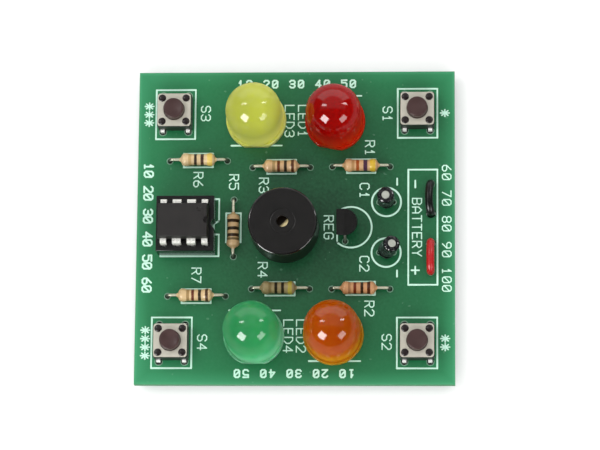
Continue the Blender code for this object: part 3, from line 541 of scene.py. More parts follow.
def leg_top(side, root, out, level, bend, turns):
    """The top of a flat leg, as (y, z): out of its body, then down round a bend, by turns in radians."""
    aside, below = out - bend, level - bend
    route = [(root, level), (aside, level)]
    route += [(aside + bend * math.sin(turn), below + bend * math.cos(turn)) for turn in turns]
    return [(side * y, z) for y, z in route]


def halved(shape, place, facing, clear=False):
    """Cuts new edges where a plane crosses a shape, and takes away what lies beyond it if clear is set."""
    parts = [*shape.verts, *shape.edges, *shape.faces]
    return bmesh.ops.bisect_plane(shape, geom=parts, plane_co=place, plane_no=facing, clear_outer=clear)


def loose_object(shape, name="part"):
    mesh = bpy.data.meshes.new(name)
    shape.to_mesh(mesh)
    shape.free()
    item = bpy.data.objects.new(name, mesh)
    bpy.context.scene.collection.objects.link(item)
    return item


def cut(shape, *tools):
    """A shape with the tools' space taken out of it."""
    body = loose_object(shape)
    tool = loose_object(together(*tools))
    change = body.modifiers.new("cut", "BOOLEAN")
    change.object = tool
    change.solver = "EXACT"
    mesh = bpy.data.meshes.new_from_object(body.evaluated_get(bpy.context.evaluated_depsgraph_get()))
    result = bmesh.new()
    result.from_mesh(mesh)
    for item in (body, tool):
        old = item.data
        bpy.data.objects.remove(item)
        bpy.data.meshes.remove(old)
    bpy.data.meshes.remove(mesh)
    return result


def dressed(name, shape, material, instead_of=None, soften=0.0, body="game"):
    """Makes the finished piece, says which body it rides on, and hides the solid it stands for."""
    item = loose_object(shape, name)
    item.data.materials.append(material)
    item.data.shade_smooth()
    item.data.set_sharp_from_angle(angle=crease_angle)
    if soften:
        bevel = item.modifiers.new("soft_edges", "BEVEL")
        bevel.width = soften
        bevel.segments = 2
        bevel.limit_method = "ANGLE"
        bevel.angle_limit = crease_angle
    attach(item, body)
    if instead_of:
        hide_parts(instead_of)


def refinish(name, material):
    """Gives a better finish to a solid whose shape is kept."""
    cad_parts[name].material_slots[0].material = material


def solder_bead(x, y, tip):
    """Solder drawn up in a hollow curve round a tail, under the board."""
    top = underside - solder_gap
    shares = ((0.0, 1.0), (0.12, 0.98), (0.26, 0.62), (0.48, 0.34), (0.75, 0.14), (1.0, 0.0))
    profile = [(0.0, top)]
    profile += [(tip + (solder_radius - tip) * wide, top - solder_height * down) for down, wide in shares]
    profile.append((0.0, top - solder_height))
    return shifted(spun(profile, 24), x, y)


def round_tail(x, y, radius):
    """Stations of a round wire from its cut end up to the board's top."""
    point = (x, y, tail_end, radius * tail_point_share)
    return [point, (x, y, tail_end + tail_point, radius), (x, y, 0.0, radius)]


def soldered_wire(x, y, radius, points):
    """A round wire from its cut end up through points over its hole, with its solder."""
    stations = round_tail(x, y, radius) + [(*point, radius) for point in points]
    return together(swept(stations), solder_bead(x, y, radius))


# Board


holes = []


def drill(place, offsets, radius, turn=0.0):
    """Holes for wires of a radius, bored through the board once every part has asked for its own."""
    spin = Matrix.Rotation(math.radians(turn), 2)
    for offset in offsets:
        offset = spin @ Vector(offset)
        holes.append((place[0] + offset.x, place[1] + offset.y, radius + hole_clearance))


def bored(shape, grow=0.0):
    low, high = underside - overrun, overrun
    return moved(cut(shape, *[rod(x, y, radius + grow, low, high) for x, y, radius in holes]), at(0.0, 0.0))


def board():
    sunk = mask_thickness / 2
    core = block((-half_side, -half_side, underside + sunk), (half_side, half_side, -sunk))
    dressed("board_laminate", bored(core), laminate(), "circuit_board", soften=0.04 * MM)
    margin = half_side - mask_margin
    mask = green_mask()
    for name, low in (("board_mask_top", -mask_thickness), ("board_mask_underside", underside)):
        sheet = block((-margin, -margin, low), (margin, margin, low + mask_thickness))
        dressed(name, bored(sheet, mask_hole_gap), mask)
    rings = []
    for x, y, radius in holes:
        if radius <= pad_limit:
            ring = flat_ring(radius + pad_gap, pad_width, -mask_thickness, pad_height, 32)
            rings.append(moved(ring, at(x, y)))
    rim_finish = plain("pad_rims", (92, 136, 110), (118, 156, 132), 0.45)
    dressed("pad_rims", together(*rings), rim_finish)


def flat_ring(inner, width, low, high, sides):
    outer = inner + width
    return spun([(inner, low), (outer, low), (outer, high), (inner, high)], sides, closed=True)


# Print: lines, circles and stroke lettering

# Each letter's strokes on a grid 4 wide and 6 high, as points with the pen lifted at each bar
letters = {
    "A": "00 04 26 44 40|02 42",
    "B": "00 06 36 45 44 33 42 41 30 00|03 33",
    "C": "45 36 16 05 01 10 30 41",
    "D": "00 06 26 44 42 20 00",
    "E": "46 06 00 40|03 33",
    "G": "45 36 16 05 01 10 30 41 43 23",
    "L": "06 00 40",
    "R": "00 06 36 45 44 33 03|23 40",
    "S": "45 36 16 05 04 13 33 42 41 30 10 01",
    "T": "06 46|26 20",
    "Y": "06 23 46|23 20",
    "0": "10 01 05 16 36 45 41 30 10|01 45",
    "1": "14 26 20|10 30",
    "2": "05 16 36 45 44 00 40",
    "3": "05 16 36 45 44 33 13|33 42 41 30 10 01",
    "4": "30 36 02 42",
    "5": "46 06 04 34 43 41 30 10 01",
    "6": "36 14 03 01 10 30 41 42 33 03",
    "7": "06 46 10",
    "8": "13 04 05 16 36 45 44 33 13 02 01 10 30 41 42 33",
    "9": "10 32 43 45 36 16 05 04 13 43",
}
letter_width, letter_height = 4, 6

# Places of the print in millimetres from the board's middle
part_frames = (
    (-24.85, 15.82, -17.90, 24.74), (17.90, 15.91, 24.87, 24.78), (-24.96, -25.06, -17.95, -16.12),
    (17.82, -25.07, 24.82, -16.15), (-19.82, 10.72, -14.67, 13.17), (8.98, 9.60, 13.98, 12.05),
    (-12.18, -2.76, -9.61, 2.43), (-19.82, -13.57, -14.72, -11.11), (-5.17, -12.25, -0.03, -9.89),
    (8.93, -12.15, 13.98, -9.82), (-5.06, 9.50, 0.02, 12.00), (19.78, -10.37, 24.87, 10.17),
)
chip_frame = (
    (-13.45, 1.05), (-13.45, 4.96), (-23.70, 4.96), (-23.70, -5.25), (-13.45, -5.25), (-13.45, -1.38),
)
chip_notch = ((-13.45, 1.05), (-14.35, 0.50), (-14.35, -1.38), (-13.45, -1.38))
can_rings = ((15.95, 4.38), (15.91, -4.64))
can_ring_radius = 2.55
regulator_bow = ((9.75, -0.12), 3.624)
lamp_bars = ((-7.0, 14.6), (7.0, 23.56), (-7.0, -14.88), (7.0, -23.8))
lamp_bar_half = 4.45
minus_marks = ((17.82, 8.01, 0.56), (17.82, -8.38, 0.54), (21.0, 7.58, 0.60))
plus_mark = (21.0, -7.80, 0.64)
star_rows = ((-26.09, 20.29, 3), (26.19, 20.37, 1), (-26.08, -20.61, 4), (26.20, -20.59, 2))
star_pitch = 1.5
labels = {
    "R6": (-17.21, 8.49), "R5": (-10.90, 8.05), "R3": (-5.63, 7.43), "R1": (13.02, 14.10),
    "R7": (-17.29, -8.65), "R4": (-5.67, -7.68), "R2": (13.02, -14.55), "C1": (12.10, 6.42),
    "C2": (12.12, -6.62), "REG": (5.85, -0.12), "S3": (-16.05, 20.46), "S1": (16.11, 20.22),
    "S4": (-16.11, -20.50), "S2": (16.05, -20.44), "LED1": (1.15, 19.03), "LED3": (-1.20, 19.04),
    "LED2": (1.14, -19.40), "LED4": (-1.10, -19.40), "BATTERY": (21.30, -0.13),
}
# Each row is (text, place, turn, letter height, letter pitch, pen)
number_rows = (
    ("10 20 30 40 50", (0.0, 25.75), 0.0, 1.3, 1.53, 0.32),
    ("10 20 30 40 50", (0.0, -26.0), 180.0, 1.3, 1.53, 0.32),
    ("10 20 30 40 50 60", (-26.0, -0.1), -90.0, 1.5, 1.37, 0.34),
    ("60 70 80 90 100", (26.5, -0.3), -90.0, 1.5, 1.53, 0.22),
)
line_pen, label_pen, star_pen = 0.32, 0.225, 0.27
label_height, label_pitch = 1.58, 1.535
star_half_width, star_half_height = 0.76, 0.60
ink_height = 0.018 * MM
ink_step = 0.002 * MM
ink_layers = 5
pen_sides = 10
ink = []


def stroke(start, end, pen=line_pen):
    """One flat line with round ends, printed on the mask."""
    start, end = Vector(start) * MM, Vector(end) * MM
    run = end - start
    shape = bmesh.new()
    bmesh.ops.create_circle(shape, cap_ends=True, segments=pen_sides, radius=pen * MM / 2)
    ahead = [vert for vert in shape.verts if vert.co.x > MICRON]
    bmesh.ops.translate(shape, vec=(run.length, 0.0, 0.0), verts=ahead)
    raised(shape, ink_height + ink_step * (len(ink) % ink_layers))
    ink.append(moved(shape, at(start.x, start.y, 0.0, math.degrees(math.atan2(run.y, run.x)))))


def polyline(points, pen=line_pen):
    for start, end in zip(points, points[1:]):
        stroke(start, end, pen)


def words(text, middle, turn, height, pitch, pen):
    """Stroke lettering about its middle. Height and pitch are between the middles of the pen's lines."""
    unit = height / letter_height
    length = pitch * (len(text) - 1) + unit * letter_width
    spin = Matrix.Rotation(math.radians(turn), 2)
    for index, letter in enumerate(text):
        for run in letters.get(letter, "").split("|"):
            points = []
            for point in run.split():
                x = index * pitch + int(point[0]) * unit - length / 2
                y = int(point[1]) * unit - height / 2
                points.append(Vector(middle) + spin @ Vector((x, y)))
            polyline(points, pen)


def star(x, y):
    """A bold eight-armed asterisk, a little wider than high when the board is read from the front."""
    for across, along in unit_arc(0.0, 135.0, 3):
        across, along = star_half_width * across, star_half_height * along
        stroke((x - across, y - along), (x + across, y + along), star_pen)


def board_print():
    for left, bottom, right, top in part_frames:
        polyline([(left, bottom), (right, bottom), (right, top), (left, top), (left, bottom)])
    for run in (chip_frame, chip_notch):
        polyline(run)
    for x, y in can_rings:
        ring = flat_ring((can_ring_radius - line_pen / 2) * MM, line_pen * MM, 0.0, ink_height, 96)
        ink.append(moved(ring, at(x * MM, y * MM)))
    bow = arc(*regulator_bow, -132.0, 132.0, 60)
    polyline([*bow, bow[0]])
    for x, y in lamp_bars:
        stroke((x - lamp_bar_half, y), (x + lamp_bar_half, y))
    for x, y, half in minus_marks:
        stroke((x, y - half), (x, y + half))
    x, y, half = plus_mark
    stroke((x - half, y), (x + half, y))
    stroke((x, y - half), (x, y + half))
    for x, y, count in star_rows:
        for index in range(count):
            star(x, y + (index - (count - 1) / 2) * star_pitch)
    for text, place in labels.items():
        words(text, place, -90.0, label_height, label_pitch, label_pen)
    for row in number_rows:
        words(*row)
    dressed("board_print", together(*ink), print_ink())


# Lamps


lamp_radius = 4.85 * MM
lamp_flange = 5.27 * MM
lamp_flange_top = seat + 1.6 * MM
lamp_flat = 4.86 * MM
lamp_dome_base = 8.2 * MM
lamp_rim = 0.12 * MM
lamp_neck = 0.1 * MM
lamp_pitch = 2.54 * MM
lamp_strip_reach = 0.3535 * MM
lamp_solder_tip = 0.36 * MM

# For each lamp: its colour, how much paler the far side is painted (painted light), the colours of the dome
# and of the foot, the clear colour, the clear share of the dome and of the foot, and how far red, green and
# blue light spread
lamp_resins = {
    1: ("red", 0.12, (138, 4, 2), (180, 34, 8), (1.0, 0.2, 0.12, 1.0), 0.04, 0.12, (2.8, 0.3, 0.2)),
    2: ("orange", 0.0, (156, 66, 0), (190, 120, 18), (1.0, 0.74, 0.3, 1.0), 0.05, 0.28, (3.6, 2.2, 0.8)),
    3: ("yellow", 0.12, (165, 171, 70), (220, 220, 98), (1.0, 0.98, 0.55, 1.0), 0.0, 0.02, (5.0, 4.7, 1.8)),
    4: ("green", 0.12, (46, 138, 82), (102, 186, 132), (0.6, 0.97, 0.72, 1.0), 0.14, 0.34, (1.4, 3.8, 2.2)),
}


def lamp_lens():
    rim = lamp_flange - lamp_rim
    profile = [(0.0, seat), (rim, seat)]
    profile += arc((rim, seat + lamp_rim), lamp_rim, -60.0, 0.0, 2)
    profile += arc((rim, lamp_flange_top - lamp_rim), lamp_rim, 0.0, 90.0, 3)
    profile += [(lamp_radius + lamp_neck, lamp_flange_top), (lamp_radius, lamp_flange_top + lamp_neck)]
    profile += arc((0.0, lamp_dome_base), lamp_radius, 0.0, 90.0, 20)
    lens = spun(profile, 96)
    cutting = halved(lens, (0.0, -lamp_flat, 0.0), (0.0, -1.0, 0.0), clear=True)
    opening = [item for item in cutting["geom_cut"] if isinstance(item, bmesh.types.BMEdge)]
    bmesh.ops.contextual_create(lens, geom=opening)
    bmesh.ops.recalc_face_normals(lens, faces=lens.faces)
    return lens


def lamps():
    frame_tin = tin("lamp_frame_tin")
    solder = tin("lamp_solder", (170, 168, 162), (236, 234, 228), 0.16)
    half = lamp_pitch / 2
    for number, share in lamp_shares.items():
        place = on_board(share)
        turn = lamp_turns[number]
        stand = at(*place, 0.0, turn)
        word, *looks = lamp_resins[number]
        finish = resin(f"{word}_resin", place[0], *looks)
        drill(place, [(0.0, -half), (0.0, half)], lamp_strip_reach, turn)
        name = f"lamp_{number}"
        dressed(f"{name}_resin", moved(lamp_lens(), stand), finish, f"{name}_lens")
        for wire, side in (("cathode", -1), ("anode", 1)):
            refinish(f"{name}_{wire}", frame_tin)
            bead = moved(solder_bead(0.0, side * half, lamp_solder_tip), stand)
            dressed(f"{name}_{wire}_solder", bead, solder)


# Resistors


resistor_span = 10.16 * MM
resistor_length = 5.9 * MM
resistor_radius = 1.15 * MM
resistor_level = 1.27 * MM
resistor_wire = 0.28 * MM
resistor_bend = 0.7 * MM

# The body's left half: places along it and radii, as shares of its length and its largest radius
resistor_shape_shares = (
    (-0.055, 0.0), (-0.055, 0.26), (-0.03, 0.30), (-0.01, 0.40), (0.006, 0.54), (0.024, 0.73), (0.05, 0.88),
    (0.085, 0.97), (0.13, 1.0), (0.175, 0.985), (0.215, 0.93), (0.25, 0.885), (0.29, 0.87), (0.40, 0.87),
)

# The lacquer's colour and its bands, each (low, high, colour) in millimetres along the body from its middle
resistor_paint = {
    1: ((197, 158, 114), (
        (-1.6, -1.2, (166, 126, 78)), (-0.80, -0.36, (146, 66, 4)),
        (0.48, 1.08, (60, 24, 58)), (1.6, 2.5, (204, 170, 44)),
    )),
    2: ((188, 138, 96), (
        (-1.76, -1.42, (150, 104, 64)), (-0.82, -0.42, (96, 28, 2)),
        (0.40, 0.80, (36, 16, 2)), (1.56, 2.0, (64, 24, 4)),
    )),
    3: ((204, 168, 124), (
        (-1.45, -1.05, (158, 130, 84)), (-0.60, -0.20, (92, 34, 4)),
        (0.60, 1.0, (26, 16, 2)), (1.84, 2.26, (74, 34, 8)),
    )),
    4: ((142, 126, 88), (
        (-1.6, -1.2, (118, 100, 60)), (-0.58, -0.16, (22, 14, 2)),
        (0.58, 1.0, (22, 12, 2)), (1.75, 2.35, (160, 144, 58)),
    )),
    5: ((172, 144, 104), (
        (-1.76, -1.42, (92, 76, 46)), (-1.14, -0.68, (32, 16, 2)),
        (0.04, 0.52, (14, 8, 0)), (1.40, 1.84, (24, 10, 0)),
    )),
    6: ((206, 180, 136), (
        (-1.6, -1.2, (180, 150, 98)), (-0.60, -0.22, (24, 8, 0)),
        (0.54, 1.0, (52, 24, 14)), (1.7, 2.5, (216, 184, 88)),
    )),
    7: ((205, 176, 130), (
        (-1.45, -1.05, (152, 122, 76)), (-0.58, -0.20, (88, 28, 14)),
        (0.60, 1.02, (26, 16, 2)), (1.84, 2.24, (66, 38, 14)),
    )),
}


def resistor_body(shift):
    half = [(out * resistor_radius, (share - 0.5) * resistor_length) for share, out in resistor_shape_shares]
    profile = half + [(radius, -along) for radius, along in reversed(half)]
    lying = moved(spun(profile, 40), Matrix.Rotation(math.pi / 2, 4, "Y"))
    return shifted(lying, shift, 0.0, resistor_level)


def resistor_wires(shift):
    half = resistor_span / 2
    bend = arc((-half + resistor_bend, resistor_level - resistor_bend), resistor_bend, 180.0, 90.0, 8)
    left = round_tail(-half, 0.0, resistor_wire) + [(x, 0.0, z, resistor_wire) for x, z in bend]
    right = [(-x, y, z, radius) for x, y, z, radius in left]
    root = (shift, 0.0, resistor_level, resistor_wire)
    beads = [solder_bead(side * half, 0.0, resistor_wire) for side in (-1, 1)]
    return together(swept([*left, root]), swept([*right, root]), *beads)


def resistors():
    wire_tin = bent_wire_tin("resistor_wire_tin", resistor_level + 0.08 * MM, resistor_level + 0.25 * MM)
    half = resistor_span / 2
    for number, share in resistor_shares.items():
        place = on_board(share)
        turn = resistor_turns[number]
        stand = at(*place, 0.0, turn)
        shift = resistor_shift_shares[number] * resistor_span
        axis = 1 if turn else 0
        body, bands = resistor_paint[number]
        name = f"resistor_{number}"
        finish = lacquer(f"{name}_lacquer", body, place[axis] + shift, axis, bands)
        drill(place, [(-half, 0.0), (half, 0.0)], resistor_wire, turn)
        coat = moved(resistor_body(shift), stand)
        dressed(f"{name}_body", coat, finish, f"{name}_coating")
        dressed(f"{name}_wires", moved(resistor_wires(shift), stand), wire_tin, f"{name}_core")


# Push buttons


switch_half = 3.0 * MM
switch_corner = 0.3 * MM
switch_top = seat + 3.1 * MM
well_radius = 2.35 * MM
well_floor = seat + 1.0 * MM
cover_half = 2.92 * MM
cover_corner = 0.5 * MM
cover_low = switch_top + 0.02 * MM
cover_high = cover_low + 0.25 * MM
button_radius = 1.78 * MM
button_top = cover_high + 1.5 * MM
button_bevel = 0.2 * MM
button_dish = 0.03 * MM
button_clearance = 0.1 * MM
collar_radius = 2.18 * MM
collar_thickness = 0.5 * MM
collar_top = cover_low - 0.04 * MM
boss_radius = 0.8 * MM
snap_dome_top = 1.52 * MM
press = 0.25 * MM
press_clearance = 0.02 * MM
rivet_offset = 2.1 * MM
rivet_radius = 0.42 * MM
rivet_clearance = 0.04 * MM
rivet_head = 0.66 * MM
rivet_height = 0.22 * MM
rivet_seat = cover_high + 0.02 * MM
rivet_root = switch_top - 0.3 * MM
terminal_x = 2.25 * MM
terminal_y = 3.25 * MM
terminal_root = 2.7 * MM
terminal_out = 3.30 * MM
terminal_level = 0.75 * MM
terminal_bend = 0.22 * MM
terminal_turns = (0.52, 1.05, 1.57)
terminal_kink = 3.20 * MM
terminal_section = (0.35 * MM, 0.15 * MM)
terminal_reach = 0.403 * MM
terminal_solder_tip = 0.42 * MM
corners = ((1, 1), (-1, 1), (-1, -1), (1, -1))


def rounded_square(half, corner, steps):
    outline = []
    for quarter, (x, y) in enumerate(corners):
        start = quarter * 90.0
        outline += arc((x * (half - corner), y * (half - corner)), corner, start, start + 90.0, steps)
    return outline


def switch_body():
    body = plate(rounded_square(switch_half, switch_corner, 5), seat, switch_top)
    return cut(body, rod(0.0, 0.0, well_radius, well_floor, switch_top + overrun, 48))


def switch_rivets():
    crown = [(rivet_head * out, rivet_seat + rivet_height * up) for out, up in unit_arc(0.0, 90.0, 6)]
    profile = [(0.0, rivet_root), (rivet_radius, rivet_root), (rivet_radius, rivet_seat), *crown]
    return together(*[shifted(spun(profile, 28), x * rivet_offset, y * rivet_offset) for x, y in corners])


def switch_terminals():
    """Tinned strips that leave the sides, drop through the board, and kink inside their holes."""
    shapes = []
    for x, side in corners:
        route = leg_top(side, terminal_root, terminal_out, terminal_level, terminal_bend, terminal_turns)
        route += [(side * terminal_out, 0.0), (side * terminal_kink, underside / 2)]
        route += [(side * terminal_y, underside), (side * terminal_y, tail_end)]
        shapes.append(flat_strip([(x * terminal_x, y, z, *terminal_section) for y, z in route]))
        shapes.append(solder_bead(x * terminal_x, side * terminal_y, terminal_solder_tip))
    return together(*shapes)


def switch_cover():
    low, high = cover_low - overrun, cover_high + overrun
    tools = [rod(0.0, 0.0, button_radius + button_clearance, low, high, 64)]
    for x, y in corners:
        tools.append(rod(x * rivet_offset, y * rivet_offset, rivet_radius + rivet_clearance, low, high))
    return cut(plate(rounded_square(cover_half, cover_corner, 8), cover_low, cover_high), *tools)


def switch_plunger():
    """The button, slightly dished, its collar, and a boss that stops over the dome when it is pressed."""
    boss_end = snap_dome_top + press + press_clearance
    flat = button_radius - 0.42 * MM
    dish = button_radius - 0.5 * MM
    profile = [
        (0.0, boss_end),
        (boss_radius, boss_end),
        (boss_radius, collar_top - collar_thickness),
        (collar_radius, collar_top - collar_thickness),
        (collar_radius, collar_top),
        (button_radius, collar_top),
        *arc((button_radius - button_bevel, button_top - button_bevel), button_bevel, 0.0, 90.0, 6),
        (flat, button_top),
        (dish, button_top - button_dish),
        (0.0, button_top - button_dish),
    ]
    return spun(profile, 72)


def buttons():
    black = plain("switch_black", (18, 17, 16), (34, 32, 31), 0.42)
    rivet_black = plain("rivet_black", (24, 18, 18), (40, 32, 32), 0.2, depth=6 * MICRON)
    steel = brushed_steel()
    terminal_tin = tin("terminal_tin", (232, 234, 228), (250, 250, 248), 0.25, metal=0.15)
    spring = tin("snap_dome_steel", (160, 160, 158), (214, 214, 210), 0.2)
    for number, share in button_shares.items():
        place = on_board(share)
        stand = at(*place)
        drill(place, [(x * terminal_x, y * terminal_y) for x, y in corners], terminal_reach)
        name = f"button_{number}"
        brown = turned_plastic(f"plunger_{number}_brown", (52, 33, 32), (74, 50, 48), place, 0.05 * MM)
        body, cover, cap = [moved(shape(), stand) for shape in (switch_body, switch_cover, switch_plunger)]
        dressed(f"{name}_housing", body, black, f"{name}_base", soften=0.08 * MM)
        dressed(f"{name}_rivets", moved(switch_rivets(), stand), rivet_black)
        dressed(f"{name}_terminals", moved(switch_terminals(), stand), terminal_tin)
        dressed(f"{name}_plate", cover, steel, f"{name}_cover", soften=0.05 * MM)
        dressed(f"{name}_cap", cap, brown, f"{name}_plunger", body=f"{name}_key")
        refinish(f"{name}_dome", spring)


# Chip in its socket


pin_pitch = 2.54 * MM
row_half = 3.81 * MM
chip_half = (4.45 * MM, 3.09 * MM)
chip_low = 4.37 * MM
chip_high = 7.57 * MM
chip_middle = (chip_low + chip_high) / 2
chip_draft = 0.18 * MM
chip_shift = -0.17 * MM
chip_notch_size = (0.6 * MM, 0.7 * MM)
chip_dimple_size = (0.35 * MM, 0.12 * MM)
chip_dimple_place = (1.55 * MM, 1.84 * MM)
pin_root = 2.6 * MM
pin_bend = 0.35 * MM
pin_turns = (0.39, 0.79, 1.18, 1.57)
pin_wide = 1.5 * MM
pin_end_wide = 1.08 * MM
pin_end_shift = 0.21 * MM
pin_half_narrow = 0.23 * MM
pin_half_thickness = 0.14 * MM
pin_levels = (4.45 * MM, 4.2 * MM, 1.7 * MM)
socket_half = (5.06 * MM, 4.9 * MM)
socket_top = 4.25 * MM
socket_wall = 2.1 * MM
socket_end = 1.2 * MM
socket_bar = 0.6 * MM
socket_notch = (0.36 * MM, 0.9 * MM)
pocket_half = (0.43 * MM, 0.34 * MM)
pocket_floor = 1.25 * MM
contact_section = (0.25 * MM, 0.14 * MM)
contact_top = 0.55 * MM
contact_solder_tip = 0.3 * MM
leaf_section = (0.3 * MM, 0.03 * MM)
leaf_route = ((0.29 * MM, 1.2 * MM), (0.19 * MM, 2.7 * MM), (0.28 * MM, 3.3 * MM))

# The eight pins: place along the chip, row, and which end of the chip the pin is at, if any
pin_ends = (-1, 0, 0, 1)
pin_places = [((index - 1.5) * pin_pitch, side, pin_ends[index]) for index in range(4) for side in (-1, 1)]


def chip_body():
    half_x, half_y = chip_half
    body = block((-half_x, -half_y, chip_low), (half_x, half_y, chip_high))
    halved(body, (0.0, 0.0, chip_middle), (0.0, 0.0, 1.0))
    shrink = ((half_x - chip_draft) / half_x, (half_y - chip_draft) / half_y, 1.0)
    ends = [vert for vert in body.verts if abs(vert.co.z - chip_middle) > MICRON]
    bmesh.ops.scale(body, vec=shrink, verts=ends)
    radius, depth = chip_notch_size
    notch = rod(half_x - chip_draft, 0.0, radius, chip_high - depth, chip_high + overrun, 32)
    radius, depth = chip_dimple_size
    inset, aside = chip_dimple_place
    dimple = rod(half_x - inset, aside, radius, chip_high - depth, chip_high + overrun)
    return shifted(cut(body, notch, dimple), chip_shift, 0.0)


def chip_pins():
    """Pins that are wide at the body, narrower on the end ones, and slim where they enter the socket."""
    shapes = []
    for x, side, end in pin_places:
        half_wide = (pin_end_wide if end else pin_wide) / 2
        route = leg_top(side, pin_root, row_half, chip_middle, pin_bend, pin_turns)
        route.append((side * row_half, pin_levels[0]))
        stations = [(x - end * pin_end_shift, y, z, half_wide, pin_half_thickness) for y, z in route]
        for level in pin_levels[1:]:
            stations.append((x, side * row_half, level, pin_half_narrow, pin_half_thickness))
        shapes.append(flat_strip(stations))
    return together(*shapes)


def socket_body():
    half_x, half_y = socket_half
    low, high = seat - overrun, socket_top + overrun
    window = half_y - socket_wall
    beyond, notch_radius = socket_notch
    tools = [
        block((-half_x + socket_end, -window, low), (-socket_bar, window, high)),
        block((socket_bar, -window, low), (half_x - socket_end, window, high)),
        rod(half_x + beyond, 0.0, notch_radius, low, high, 36),
    ]
    wide, deep = pocket_half
    for x, side, _ in pin_places:
        y = side * row_half
        tools.append(block((x - wide, y - deep, pocket_floor), (x + wide, y + deep, high)))
    return cut(block((-half_x, -half_y, seat), (half_x, half_y, socket_top)), *tools)


def socket_contacts():
    """A tail and two leaves for each pin, with the solder under the board."""
    shapes = []
    for x, side, _ in pin_places:
        y = side * row_half
        shapes.append(flat_strip([(x, y, level, *contact_section) for level in (tail_end, contact_top)]))
        for leaf in (-1, 1):
            route = [(x, y + leaf * out, level, *leaf_section) for out, level in leaf_route]
            shapes.append(flat_strip(route))
        shapes.append(solder_bead(x, y, contact_solder_tip))
    return together(*shapes)


def chip():
    place = on_board(socket_share)
    stand = at(*place)
    drill(place, [(x, side * row_half) for x, side, _ in pin_places], contact_section[0])
    grain = {"size": 1.8 * MM, "depth": 9 * MICRON, "fine": 0.07 * MM}
    epoxy = plain("chip_epoxy", (24, 22, 21), (36, 33, 32), 0.55, Specular_IOR_Level=0.35, **grain)
    nylon = plain("socket_nylon", (10, 10, 10), (22, 21, 22), 0.22, size=1.2 * MM)
    pin_tin = tin("chip_pin_tin", (224, 223, 215), (246, 246, 240), 0.28, metal=0.3)
    contact_tin = tin("socket_contact_tin", (150, 146, 132), (196, 192, 178), 0.25)
    dressed("chip_body", moved(chip_body(), stand), epoxy, "chip", soften=0.09 * MM)
    dressed("chip_pins", moved(chip_pins(), stand), pin_tin, soften=0.03 * MM)
    nest = moved(socket_body(), stand)
    dressed("socket_body", nest, nylon, "chip_socket", soften=0.08 * MM)
    dressed("socket_contacts", moved(socket_contacts(), stand), contact_tin)


# Buzzer


buzzer_radius = 6.0 * MM
buzzer_top = 7.65 * MM
buzzer_bore = 5.25 * MM
buzzer_roof = 0.8 * MM
buzzer_ledge = 0.6 * MM
buzzer_ledge_level = 5.25 * MM
buzzer_rim = 0.32 * MM
buzzer_foot = 0.1 * MM
buzzer_rim_step = 0.1 * MM
buzzer_polish = (5.6 * MM, 7.2 * MM)
buzzer_ring = 0.12 * MM
sound_hole = 1.0 * MM
sound_hole_edge = 0.08 * MM
buzzer_floor_radius = 5.2 * MM
buzzer_floor_levels = (0.1 * MM, 1.1 * MM)
buzzer_pin_half_pitch = 3.8 * MM
buzzer_pin_radius = 0.3 * MM
buzzer_pin_top = 0.6 * MM

# The faint groove round the sound hole, as (radius, depth) in millimetres
buzzer_groove = ((2.34, 0.0), (2.26, 0.0), (2.18, 0.04), (2.08, 0.04), (2.0, 0.0), (1.92, 0.0))


def buzzer_case():
    """Turned case with a softened rim, a faint step round the top and a small sound hole."""
    rim = buzzer_radius - buzzer_rim
    ledge = buzzer_bore - buzzer_ledge
    profile = [
        (sound_hole, buzzer_top - buzzer_roof),
        (ledge, buzzer_top - buzzer_roof),
        (ledge, buzzer_ledge_level),
        (buzzer_bore, buzzer_ledge_level),
        (buzzer_bore, seat),
        (buzzer_radius - buzzer_foot, seat),
        (buzzer_radius, seat + buzzer_foot),
        *arc((rim, buzzer_top - buzzer_rim), buzzer_rim, 0.0, 90.0, 8),
        (rim - buzzer_rim_step, buzzer_top),
        *[(radius * MM, buzzer_top - depth * MM) for radius, depth in buzzer_groove],
        (sound_hole + sound_hole_edge, buzzer_top),
        (sound_hole, buzzer_top - sound_hole_edge),
    ]
    return spun(profile, 128, closed=True)


def drum(radius, low, high, sides):
    """A solid disc or post, spun from its own outline."""
    return spun([(0.0, low), (radius, low), (radius, high), (0.0, high)], sides)


def buzzer():
    place = on_board(buzzer_share)
    stand = at(*place)
    pins = [(-buzzer_pin_half_pitch, 0.0), (buzzer_pin_half_pitch, 0.0)]
    drill(place, pins, buzzer_pin_radius)
    plastic = turned_plastic("buzzer_plastic", (10, 9, 9), (20, 18, 17), place, buzzer_ring, buzzer_polish)
    dressed("buzzer_shell", moved(buzzer_case(), stand), plastic, "buzzer_case")
    board_brown = plain("buzzer_laminate", (120, 98, 60), (158, 134, 88), 0.55, size=0.8 * MM)
    floor = drum(buzzer_floor_radius, *buzzer_floor_levels, 96)
    dressed("buzzer_floor", moved(floor, stand), board_brown, "buzzer_base")
    posts = [shifted(drum(buzzer_pin_radius, tail_end, buzzer_pin_top, 20), x, y) for x, y in pins]
    beads = [solder_bead(x, y, buzzer_pin_radius) for x, y in pins]
    dressed("buzzer_pins", moved(together(*posts, *beads), stand), tin("buzzer_pin_tin"))
    finishes = {
        "yoke": tin("yoke_steel", (120, 118, 114), (170, 168, 164), 0.3),
        "magnet": plain("magnet_ferrite", (44, 44, 46), (66, 66, 68), 0.65),
        "coil": tin("coil_copper", (172, 96, 60), (214, 136, 92), 0.25, (1.0, 1.0, 0.3)),
        "diaphragm": diaphragm_brass(place),
    }
    for word, finish in finishes.items():
        refinish(f"buzzer_{word}", finish)


# Voltage regulator, leaning on its splayed wires


